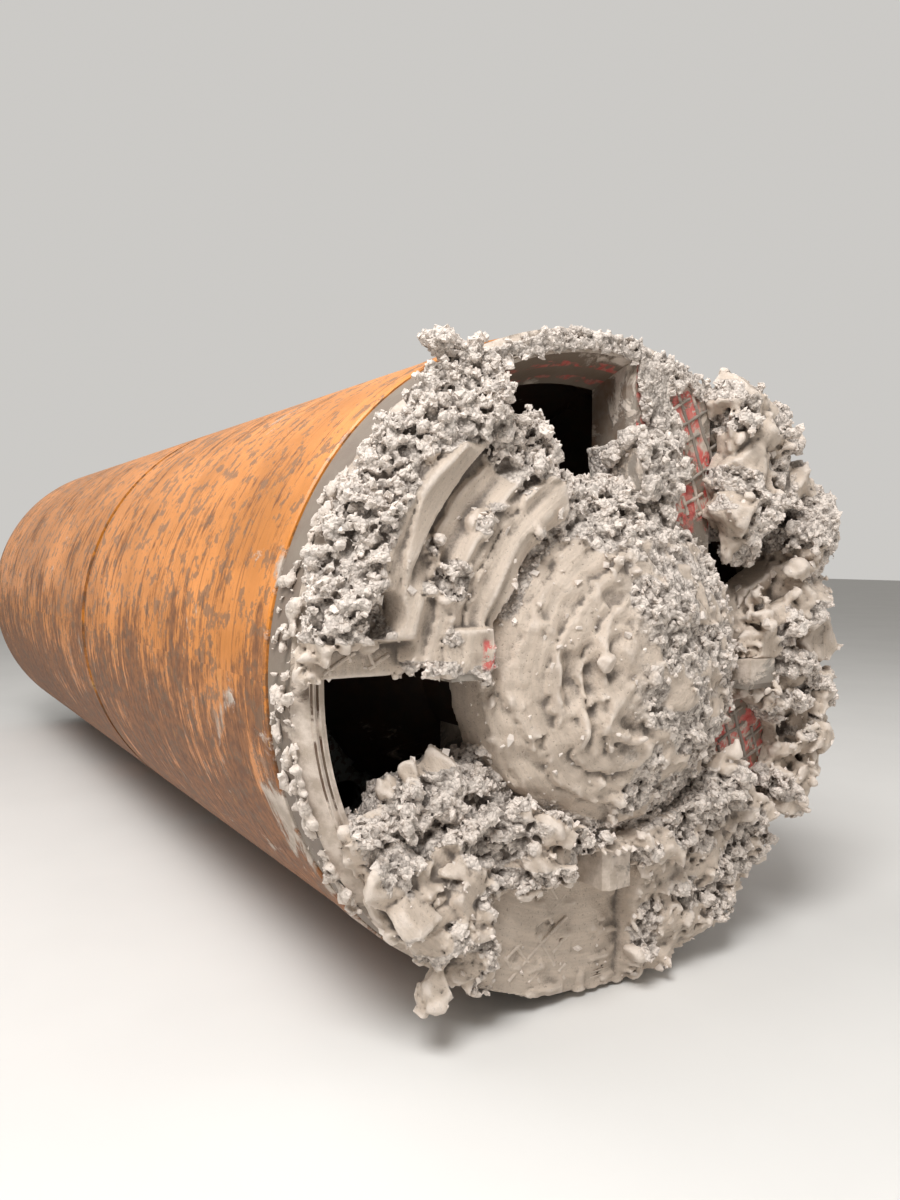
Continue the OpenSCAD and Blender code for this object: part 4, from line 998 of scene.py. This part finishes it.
def clay_material():
    """Clay: broken and dry where a piece is crumbly, smeared with streaks round the axis where it isn't; painted
    shade darkens its cracks, pits and hollows, and painted highlight lightens its edges, ridges and raised streaks.
    """
    clay = bpy.context.scene.clay_settings
    pale, smear, gap = tuple(clay.pale), tuple(clay.smear), tuple(clay.gap)
    s = Shader("caked_clay", rough=0.7)
    crumbly, tone = s.value("crumbly"), s.value("tone")
    broken = s.ramp(s.plus(crumbly, s.times(s.noise(26, 5.0, 0.65), 0.5)), 0.55, 0.85)
    patch = s.noise(11, 4.0, 0.62)
    fine = s.noise(150, 5.0, 0.7)
    warped = s.node("ShaderNodeVectorMath", operation="ADD")
    s.link(s.place, warped.inputs[0])
    jolt = s.node("ShaderNodeVectorMath", operation="SCALE")
    wave = s.node("ShaderNodeTexNoise")
    wave.inputs["Scale"].default_value = 60
    s.link(s.place, wave.inputs["Vector"])
    s.link(wave.outputs["Color"], jolt.inputs[0])
    jolt.inputs["Scale"].default_value = 0.012
    s.link(jolt.outputs[0], warped.inputs[1])
    grit = s.cells(125, vector=warped.outputs[0])
    grit_tone = s.cells(125, vector=warped.outputs[0], output="Color")
    chunk = s.cells(48, vector=warped.outputs[0])
    dry = s.mix(s.ramp(s.plus(s.times(grit_tone, 0.6), s.times(patch, 0.6)), 0.30, 0.75),
                blended(pale, 0.52, gap, 0.30), pale)
    # Painted shade in the cracks: the borders of the small cells, which the bump sinks, and of the larger chunks are
    # darkened towards the gap colour
    dry = s.mix(s.ramp(grit, 0.50, 0.85, 0.0, 0.55), dry, gap)
    dry = s.mix(s.ramp(chunk, 0.55, 0.85, 0.0, 0.45), dry, gap)
    streak = s.streaks(4.0, 0.65, 30.0, 75.0, 3.0)
    thread = s.streaks(3.0, 0.7, 60.0, 230.0, 5.0)
    # Lit and shaded copies of the smeared colour: lighter along the streaks and threads that the bump raises, darker
    # between them; partly real streaking, partly painted highlight and painted shade
    wet = s.mix(s.ramp(streak, 0.34, 0.66), shade(smear, 0.90), shade(smear, 1.07))
    wet = s.mix(s.ramp(thread, 0.58, 0.70, 0.0, 0.30), wet, blended(pale, 0.45, smear, 0.55))
    wet = s.mix(s.ramp(s.noise(9.0, 5.0, 0.65), 0.50, 0.70, 0.0, 0.45), wet, shade(smear, 0.66))
    # Painted highlight and painted shade at the finest scale: pale flecks on the tops of the fine bump and dark
    # specks in its pits
    wet = s.mix(s.ramp(fine, 0.62, 0.74, 0.0, 0.65), wet, pale)
    wet = s.mix(s.ramp(fine, 0.42, 0.32, 0.0, 0.70), wet, shade(gap, 1.6))
    base = s.mix(broken, wet, dry)
    crumb = s.mix(tone, blended(pale, 0.38, gap, 0.25), shade(pale, 1.12))
    base = s.mix(s.ramp(tone, 0.02, 0.08), base, crumb)
    # Painted shade where the mesh curves inward and painted highlight on its sharp outer edges, by the mesh's
    # pointiness
    point = s.node("ShaderNodeNewGeometry").outputs["Pointiness"]
    base = s.mix(s.ramp(point, 0.490, 0.43, 0.0, 0.6), base, gap)
    base = s.mix(s.ramp(point, 0.53, 0.64, 0.0, 0.40), base, shade(pale, 1.12))
    # Painted shade down in the hollows of the clay's surface and painted highlight on the ridges between them, by the
    # stored hollow depth
    hollow = s.plus(s.value("hollow"), s.times(s.math("SUBTRACT", fine, 0.5), 0.006))
    base = s.mix(s.ramp(hollow, 0.0002, 0.0058, 0.0, 0.92), base, gap)
    base = s.mix(s.ramp(hollow, -0.0015, -0.0070, 0.0, 0.50), base, shade(pale, 1.14))
    place = s.split()
    near = s.times(s.ramp(s.math("ABSOLUTE", s.plus(place[1], 0.388)), 0.020, 0.010),
                  s.ramp(s.math("ABSOLUTE", s.math("SUBTRACT", place[2], AXIS_Z + 0.055)), 0.034, 0.022))
    near = s.times(near, s.ramp(s.noise(45, 4.0, 0.7), 0.42, 0.52))
    base = s.mix(s.times(near, 0.85), base, tuple(bpy.context.scene.finish_settings.marker))
    rough = s.plus(0.52, s.times(broken, 0.30))
    coarse = s.plus(s.times(s.math("SUBTRACT", 1.0, grit), broken), s.times(streak, 0.35))
    normal = s.bump(s.plus(coarse, s.times(thread, 0.16)), 0.006, 0.8)
    normal = s.bump(fine, 0.0032, 0.9, after=normal)
    return s.done(base, rough, normal)


def smeared(s, base, rough, amount, scale=7.0, normal=None, mask=None):
    """Adds a film and splashes of clay over a finish; amount from 0 to 1 says how much."""
    clay = bpy.context.scene.clay_settings
    pale, smear = tuple(clay.pale), tuple(clay.smear)
    fine = s.noise(95, 6.0, 0.7)
    colour = s.mottle(24, 5.0, 0.65, 0.36, 0.66, shade(smear, 0.80), blended(pale, 0.5, smear, 0.5))
    colour = s.mix(s.ramp(fine, 0.56, 0.80, 0.0, 0.5), colour, pale)
    film = s.noise(scale, 7.0, 0.68, distortion=0.6)
    if mask is not None:
        film = s.plus(film, mask)
    cover = s.ramp(film, 0.64 - 0.35 * amount, 0.72 - 0.35 * amount)
    base = s.mix(cover, base, colour)
    rough = s.plus(s.times(rough, s.math("SUBTRACT", 1.0, cover)), s.times(cover, 0.75))
    relief = s.times(cover, s.plus(0.6, s.times(fine, 0.8)))
    return base, rough, s.bump(relief, 0.003, 0.8, after=normal)


def shield_material():
    """Worn amber paint: scratches and rust that run round the shields, browner low down, dark inside."""
    finish = bpy.context.scene.finish_settings
    s = Shader("shield_paint_worn", rough=0.45)
    paint = tuple(finish.shield)
    out = s.polar()[0]
    low_side = s.ramp(s.split()[2], 1.15, 0.30)
    fade = s.noise(2.6, 5.0, 0.62)
    base = s.mix(s.ramp(fade, 0.32, 0.68), shade(paint, 0.80), shade(paint, 1.22, 0.03))
    hair = s.streaks(4.0, 0.75, 230.0, 2.0, 2.0)
    scratch = s.streaks(5.0, 0.75, 85.0, 4.0, 1.6)
    wide = s.streaks(4.0, 0.7, 16.0, 2.0, 1.1)
    marks = s.ramp(s.plus(s.times(scratch, 0.75), s.times(hair, 0.25)), 0.535, 0.60)
    marks = s.times(marks, s.ramp(s.plus(wide, s.times(low_side, 0.10)), 0.40, 0.58))
    base = s.mix(s.times(marks, 0.80), base, (0.155, 0.060, 0.024))
    runs = s.streaks(6.0, 0.72, 26.0, 4.0, 2.6)
    rust = s.plus(s.times(s.noise(4.0, 7.0, 0.72), 0.48), s.times(runs, 0.52))
    rust = s.ramp(s.plus(rust, s.times(low_side, 0.14)), 0.520, 0.60)
    base = s.mix(s.times(rust, 0.86), base,
                 s.mottle(40, 4.0, 0.55, 0.35, 0.65, (0.090, 0.036, 0.017), (0.240, 0.098, 0.036)))
    pale = s.ramp(s.plus(s.times(hair, 0.5), s.times(s.noise(9, 5.0, 0.7), 0.5)), 0.60, 0.66)
    base = s.mix(s.times(pale, 0.55), base, (0.80, 0.47, 0.16))
    bare = s.ramp(s.plus(s.noise(21, 6.0, 0.7), s.times(s.edges(), 0.18)), 0.70, 0.75)
    base = s.mix(s.times(bare, 0.7), base, (0.150, 0.088, 0.050))
    normal = s.bump(s.plus(s.times(scratch, 0.7), s.times(rust, 0.8)), 0.0014, 0.7)
    rough = s.plus(0.38, s.times(s.plus(rust, marks), 0.24))
    ahead = s.ramp(s.split()[0], FACE_X - 0.55, FACE_X - 0.10, 0.0, 0.13)
    base, rough, normal = smeared(s, base, rough, 0.02, 5.0, normal, mask=s.times(ahead, s.plus(low_side, 0.25)))
    inside = s.ramp(out, RIM_R - 0.010, RIM_R - 0.016)
    base = s.mix(inside, base, s.mottle(6, 6.0, 0.7, 0.35, 0.65, (0.085, 0.052, 0.034), (0.150, 0.082, 0.045)))
    return s.done(base, rough, normal)


def head_steel_material(name="head_steel_caked", clay=0.62):
    s = Shader(name, rough=0.6)
    base = s.mottle(9, 6.0, 0.65, 0.38, 0.64, (0.185, 0.150, 0.118), (0.120, 0.066, 0.038))
    base = s.mix(s.times(s.edges(0.52, 0.60), 0.6), base, (0.36, 0.33, 0.29))
    normal = s.bump(s.noise(60, 5.0, 0.65), 0.002, 0.6)
    base, rough, normal = smeared(s, base, 0.55, clay, 8.0, normal)
    return s.done(base, rough, normal)


def marked_steel_material():
    """Head steel with worn marking paint between the hardfacing beads on its front."""
    finish = bpy.context.scene.finish_settings
    marker = tuple(finish.marker)
    s = Shader("head_steel_marked", rough=0.55)
    base = s.mottle(9, 6.0, 0.65, 0.38, 0.64, (0.255, 0.215, 0.175), (0.175, 0.110, 0.072))
    front = s.ramp(s.facing(0), 0.85, 0.97)
    worn = s.ramp(s.noise(24, 6.0, 0.72, distortion=0.8), 0.47, 0.52)
    blot = s.ramp(s.noise(9, 3.0, 0.6), 0.40, 0.50)
    left = s.times(front, s.times(worn, blot))
    base, rough, normal = smeared(s, base, 0.55, 0.50, 10.0, s.bump(s.noise(60, 5.0, 0.65), 0.002, 0.6))
    base = s.mix(s.times(left, 0.92), base, s.mottle(50, 3.0, 0.55, 0.35, 0.65, marker, (0.66, 0.215, 0.180)))
    return s.done(base, rough, normal)


def rim_material():
    """Rim steel: rows of worn marking paint on its bore, brown rolled steel outside, a pale film on its front and
    towards its front edge.
    """
    marker = tuple(bpy.context.scene.finish_settings.marker)
    s = Shader("rim_steel_caked", rough=0.6)
    base = s.mottle(7, 6.0, 0.65, 0.38, 0.64, (0.150, 0.108, 0.076), (0.095, 0.046, 0.026))
    dashes = s.streaks(2.0, 0.5, 34.0, 3.0, 11.0)
    worn = s.ramp(s.noise(40, 5.0, 0.7), 0.44, 0.52)
    out = s.polar()[0]
    bore = s.ramp(out, RIM_R - 0.050, RIM_R - 0.060)
    base = s.mix(s.times(bore, 0.6), base, (0.235, 0.185, 0.140))
    row = s.ramp(s.math("SINE", s.times(s.math("SUBTRACT", s.split()[0], FACE_X), 108.0)), 0.10, 0.45)
    marks = s.times(s.times(s.ramp(dashes, 0.46, 0.52), worn), s.times(bore, row))
    base = s.mix(s.times(marks, 0.85), base, s.mottle(50, 3.0, 0.55, 0.4, 0.6, marker, (0.55, 0.20, 0.16)))
    base = s.mix(s.times(s.edges(0.52, 0.60), 0.4), base, (0.34, 0.30, 0.25))
    normal = s.bump(s.noise(60, 5.0, 0.65), 0.0018, 0.6)
    front = s.times(s.ramp(s.facing(0), 0.55, 0.85), 0.22)
    side = s.ramp(s.split()[0], FACE_X - 0.060, FACE_X - 0.012, -0.02, 0.14)
    base, rough, normal = smeared(s, base, 0.55, 0.10, 7.0, normal, mask=s.plus(front, side))
    return s.done(base, rough, normal)


def cast_material():
    s = Shader("chamber_steel", rough=0.7)
    base = s.mottle(6, 7.0, 0.7, 0.35, 0.65, (0.048, 0.035, 0.027), (0.085, 0.047, 0.028))
    normal = s.bump(s.noise(45, 6.0, 0.7), 0.003, 0.7)
    base, rough, normal = smeared(s, base, 0.7, 0.10, 6.0, normal)
    return s.done(base, rough, normal)


def painted_material(name, colour, rough=0.42, wear=0.5):
    s = Shader(name, rough=rough)
    base = s.mottle(3.5, 4.0, 0.55, 0.35, 0.7, colour, shade(colour, 0.82))
    grime = s.ramp(s.noise(11, 6.0, 0.68, distortion=0.4), 0.54, 0.72)
    base = s.mix(s.times(grime, wear), base, shade(colour, 0.35, 0.045))
    chips = s.ramp(s.plus(s.noise(38, 5.0, 0.7), s.times(s.edges(), 0.2)), 0.70, 0.74)
    base = s.mix(s.times(chips, 0.7), base, (0.16, 0.10, 0.07))
    rough_map = s.plus(rough, s.times(grime, 0.25))
    return s.done(base, rough_map, s.bump(s.noise(140, 3.0), 0.0006, 0.35))


def metal_material(name, colour, rough=0.35, brush=(1, 1, 1), stain=0.3):
    s = Shader(name, rough=rough, metal=0.9)
    grain = s.noise(60, 4.0, 0.7, vector=s.stretched(brush))
    base = s.mix(s.ramp(grain, 0.3, 0.7), colour, shade(colour, 0.78))
    spots = s.ramp(s.noise(9, 6.0, 0.7, distortion=0.5), 0.56, 0.72)
    base = s.mix(s.times(spots, stain), base, (0.180, 0.100, 0.058))
    rough_map = s.plus(rough, s.times(spots, 0.35))
    return s.done(base, rough_map, s.bump(grain, 0.0004, 0.4), metal=s.ramp(spots, 0.0, 1.0, 0.9, 0.4))


def plain_material(name, colour, rough, grain=120):
    s = Shader(name, rough=rough)
    base = s.mottle(14, 4.0, 0.55, 0.35, 0.7, colour, shade(colour, 0.8))
    return s.done(base, s.ramp(s.noise(30, 3.0), 0.3, 0.7, rough, min(1.0, rough + 0.15)),
                  s.bump(s.noise(grain, 3.0), 0.0006, 0.4))


# ---------------------------------------------------------------- operators


CLAY = [
    ("caked_cap", shape_cap, ["clay_cap"]),
    ("caked_side_arm", shape_side_arm, ["clay_side_arm"]),
    ("caked_low_arm", shape_low_arm, ["clay_low_arm"]),
    ("caked_far_lumps", shape_far_lumps, ["clay_far_lumps"]),
    ("caked_crest", shape_crest, ["clay_crest"]),
    ("rim_crumbs", shape_rim_crumbs, []),
]

BEADS = {
    "beads_upright_arm": ([(0.196, 0.690), (0.262, 0.664), (0.325, 0.600), (0.372, 0.600), (0.372, 0.385),
                           (0.340, 0.330), (0.245, 0.345), (0.262, 0.491), (0.205, 0.585)], 25, 0.0008),
    "beads_right_arm": ([(0.440, -0.115), (0.405, -0.200), (0.360, -0.262), (0.385, -0.370), (0.600, -0.370),
                         (0.640, -0.200), (0.560, -0.120)], 20, 0.0008),
    "beads_side_arm": ([(-0.735, 0.106), (-0.735, 0.030), (-0.570, 0.030), (-0.560, 0.085)], 28, 0.0250),
    "beads_low_arm": ([(-0.325, -0.445), (-0.108, -0.445), (-0.108, -0.700), (-0.270, -0.660)], 33, 0.0080),
}


class PaintFrame(bpy.types.Operator):
    """Gives every carried-over solid its finish"""

    bl_idname = "tunneller.paint_frame"
    bl_label = "Finishes"

    def execute(self, context):
        by_material = {
            rim_material(): ["head_rim"],
            marked_steel_material(): ["arm_1", "arm_4"],
            head_steel_material(): ["arm_2", "arm_3", "hub_nose", "arm_gussets", "teeth"],
            cast_material(): ["crusher_cone", "chamber_liner"],
            shield_material(): ["front_skin", "rear_skin", "wear_band"],
            painted_material("inner_paint_grey", (0.42, 0.43, 0.41)):
                ["bulkhead", "drive_housing", "front_frame", "rear_frames", "unit_shelves"],
            painted_material("motor_paint_blue", (0.055, 0.120, 0.215)): ["drive_motors", "power_pack"],
            painted_material("barrel_paint_red", (0.360, 0.060, 0.032)):
                ["barrel_top", "barrel_left", "barrel_bottom", "barrel_right"],
            metal_material("rod_chrome_plate", (0.72, 0.72, 0.73), 0.10, stain=0.04):
                ["rod_top", "rod_left", "rod_bottom", "rod_right"],
            painted_material("cabinet_paint_light", (0.46, 0.48, 0.47), wear=0.3): ["cabinet", "cabinet_door"],
            metal_material("pipe_steel_bright", (0.42, 0.41, 0.39), 0.38):
                ["front_lines", "feed_line", "discharge_line"],
            metal_material("ring_steel_machined", (0.40, 0.39, 0.37), 0.32):
                ["joint_ring", "ball_collar", "tail_spigot"],
            metal_material("walkway_galvanised", (0.40, 0.41, 0.41), 0.45): ["walkway"],
            plain_material("seal_rubber_black", (0.022, 0.022, 0.022), 0.6): ["tail_seal"],
            plain_material("lamp_plastic_white", (0.72, 0.72, 0.68), 0.4): ["lamp"],
            plain_material("target_plastic_dark", (0.035, 0.036, 0.04), 0.45): ["laser_target"],
        }
        for material, names in by_material.items():
            for name in names:
                for slot in NODES[name].material_slots:
                    slot.material = material
        return {"FINISHED"}


class CakeClay(bpy.types.Operator):
    """Shapes the clay that is caked on the cutterhead and strews its crumbs"""

    bl_idname = "tunneller.cake_clay"
    bl_label = "Clay on the head"

    def execute(self, context):
        clay = context.scene.clay_settings
        rough_cell = 1.0
        material, crumbs = clay_material(), crumb_tree()
        for number, (name, shape, replaced) in enumerate(CLAY):
            points, quads, crumbly, hollow = shape(clay.cell * rough_cell)
            piece = from_numpy(name, to_world(points), quads)
            mark(piece, "crumbly", crumbly)
            mark(piece, "hollow", hollow)
            mark(piece, "strewn", (0.05 + crumbly ** 1.5) * (1 - 0.9 * np.clip(hollow / 0.003, 0, 1)))
            piece.data.polygons.foreach_set("use_smooth", (crumbly[quads].mean(axis=1) < 0.5))
            grow(piece, crumbs, Density=clay.crumb_density / rough_cell ** 2, Smallest=clay.crumb_small,
                 Largest=clay.crumb_large, Seed=5 + number, Material=material)
            finish_piece(piece, "cutterhead", replaced)
        return {"FINISHED"}


class LayBeads(bpy.types.Operator):
    """Lays the hardfacing beads on the arms' fronts"""

    bl_idname = "tunneller.lay_beads"
    bl_label = "Hardfacing"

    def execute(self, context):
        finish = context.scene.finish_settings
        steel, tree = head_steel_material("bead_steel", 0.50), bead_tree()
        filmed = bpy.data.materials["caked_clay"]
        for number, (name, (outline, lean, ahead)) in enumerate(BEADS.items()):
            points, edges = bead_lines(outline, lean, finish.bead_pitch, ahead, 70 + number)
            piece = from_numpy(name, to_world(points), edges=edges)
            grow(piece, tree, Width=finish.bead_width, Step=0.007, Roughness=0.004,
                 Material=filmed if ahead > 0.002 else steel)
            finish_piece(piece, "cutterhead")
        return {"FINISHED"}


class SetBolts(bpy.types.Operator):
    """Sets the bolts of the drive's flange and of two pipe flanges inside the shields"""

    bl_idname = "tunneller.set_bolts"
    bl_label = "Bolts"

    def execute(self, context):
        size = context.scene.finish_settings.bolt_size
        material, tree = metal_material("bolt_steel_zinc", (0.46, 0.45, 0.42), 0.40), bolt_tree()
        for name, body, places in BOLTS:
            points, facing = (np.concatenate(part) for part in zip(*places()))
            piece = from_numpy(name, points)
            mark(piece, "facing", facing, "FLOAT_VECTOR")
            grow(piece, tree, Size=size, Material=material)
            finish_piece(piece, body)
        return {"FINISHED"}


def front_bolts():
    return [ring_of(DRIVE_FLANGE, DRIVE_BOLT_R, 24, (-1, 0, 0), 7.5)]


def rear_bolts():
    low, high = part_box("feed_line")
    y = (low.y + high.y) / 2
    z = (low.z + high.z) / 2
    return [flange_bolts(low.x + 0.026, side * abs(y), z, (1, 0, 0)) for side in (-1, 1)]


BOLTS = [
    ("drive_bolts", "front_shield", front_bolts),
    ("flange_bolts", "rear_shield", rear_bolts),
]


# name, place, aim, size and power of each lamp
LAMPS = (
    ("key", (4.4, -3.0, 5.6), (1.9, 0.0, 0.7), 2.4, 430),
    ("fill", (4.0, 5.0, 3.0), (1.5, 0.0, 0.7), 4.0, 50),
    ("top", (-0.5, -3.0, 6.0), (0.0, 0.0, 0.7), 5.0, 170),
)
CAMERA_YAW, CAMERA_PITCH = 146.62, -3.0  # degrees, fitted to the circles of the head
CAMERA_PLACE = (1.494, -1.396, 0.250)  # ahead of the face plane, sideways and up from the axis


class SetStage(bpy.types.Operator):
    """Lays the floor and backdrop and places the lamps and the camera"""

    bl_idname = "tunneller.set_stage"
    bl_label = "Stage"

    def execute(self, context):
        scene = context.scene
        colour = tuple(scene.stage_settings.floor_colour)
        s = Shader("studio_floor", rough=0.9)
        s.done(s.mottle(1.5, 3.0, 0.55, 0.3, 0.7, colour, shade(colour, 0.97)))
        size = 30.0
        verts = np.array([(-size, -size, 0), (size, -size, 0), (size, size, 0), (-size, size, 0)], float)
        floor = from_numpy("studio_floor", verts, np.array([[0, 1, 2, 3]]))
        floor.data.materials.append(s.material)
        self.backdrop(scene, colour)
        for lamp in LAMPS:
            self.lamp(*lamp)
        self.camera(scene)
        return {"FINISHED"}

    def backdrop(self, scene, colour):
        """A pale world behind everything, dimmer as a light than it looks."""
        world = bpy.data.worlds.new("studio_world")
        scene.world = world
        world.use_nodes = True
        tree = world.node_tree
        back = tree.nodes["Background"]
        back.inputs["Color"].default_value = (*colour, 1)
        back.inputs["Strength"].default_value = 0.50
        seen = tree.nodes.new("ShaderNodeBackground")
        seen.inputs["Color"].default_value = (*shade(colour, 0.86), 1)
        path = tree.nodes.new("ShaderNodeLightPath")
        share = path.outputs["Is Camera Ray"]
        for ray in ("Is Glossy Ray", "Is Transmission Ray"):
            either = tree.nodes.new("ShaderNodeMath")
            either.operation = "MAXIMUM"
            tree.links.new(share, either.inputs[0])
            tree.links.new(path.outputs[ray], either.inputs[1])
            share = either.outputs[0]
        mix = tree.nodes.new("ShaderNodeMixShader")
        tree.links.new(share, mix.inputs[0])
        tree.links.new(back.outputs[0], mix.inputs[1])
        tree.links.new(seen.outputs[0], mix.inputs[2])
        tree.links.new(mix.outputs[0], tree.nodes["World Output"].inputs["Surface"])

    def lamp(self, name, place, aim, size, power):
        data = bpy.data.lights.new(name, "AREA")
        data.size = size
        data.energy = power
        lamp = bpy.data.objects.new(name, data)
        bpy.context.scene.collection.objects.link(lamp)
        lamp.location = place
        lamp.rotation_euler = (Vector(aim) - Vector(place)).to_track_quat("-Z", "Y").to_euler()

    def camera(self, scene):
        data = bpy.data.cameras.new("camera")
        data.sensor_fit = "VERTICAL"
        data.sensor_height = 36.0
        data.lens = scene.stage_settings.lens
        data.clip_end = 200
        camera = bpy.data.objects.new("camera", data)
        scene.collection.objects.link(camera)
        yaw, pitch = math.radians(CAMERA_YAW), math.radians(CAMERA_PITCH)
        ahead = Vector((math.cos(yaw) * math.cos(pitch), math.sin(yaw) * math.cos(pitch), math.sin(pitch)))
        camera.location = (FACE_X + CAMERA_PLACE[0], CAMERA_PLACE[1], AXIS_Z + CAMERA_PLACE[2])
        camera.rotation_euler = ahead.to_track_quat("-Z", "Y").to_euler()
        scene.camera = camera


class TunnellerPanel(bpy.types.Panel):
    """Lists the steps that build the machine's looks"""

    bl_idname = "VIEW3D_PT_tunneller"
    bl_label = "Tunnelling machine"
    bl_space_type = "VIEW_3D"
    bl_region_type = "UI"
    bl_category = "Tunnelling"

    def draw(self, context):
        for group in (context.scene.clay_settings, context.scene.finish_settings, context.scene.stage_settings):
            for key in group.__annotations__:
                self.layout.prop(group, key)
        for step in STEPS:
            self.layout.operator(step.bl_idname)


STEPS = (PaintFrame, CakeClay, LayBeads, SetBolts, SetStage)
GROUPS = {"clay_settings": ClaySettings, "finish_settings": FinishSettings, "stage_settings": StageSettings}


def register():
    for kind in (*GROUPS.values(), *STEPS, TunnellerPanel):
        bpy.utils.register_class(kind)
    for name, group in GROUPS.items():
        setattr(bpy.types.Scene, name, bpy.props.PointerProperty(type=group))


def unregister():
    for name in GROUPS:
        delattr(bpy.types.Scene, name)
    for kind in reversed((*GROUPS.values(), *STEPS, TunnellerPanel)):
        bpy.utils.unregister_class(kind)


def main():
    register()
    bpy.context.scene.view_settings.view_transform = "Standard"
    for step in STEPS:
        group, name = step.bl_idname.split(".")
        getattr(getattr(bpy.ops, group), name)()


if __name__ == "__main__":
    main()
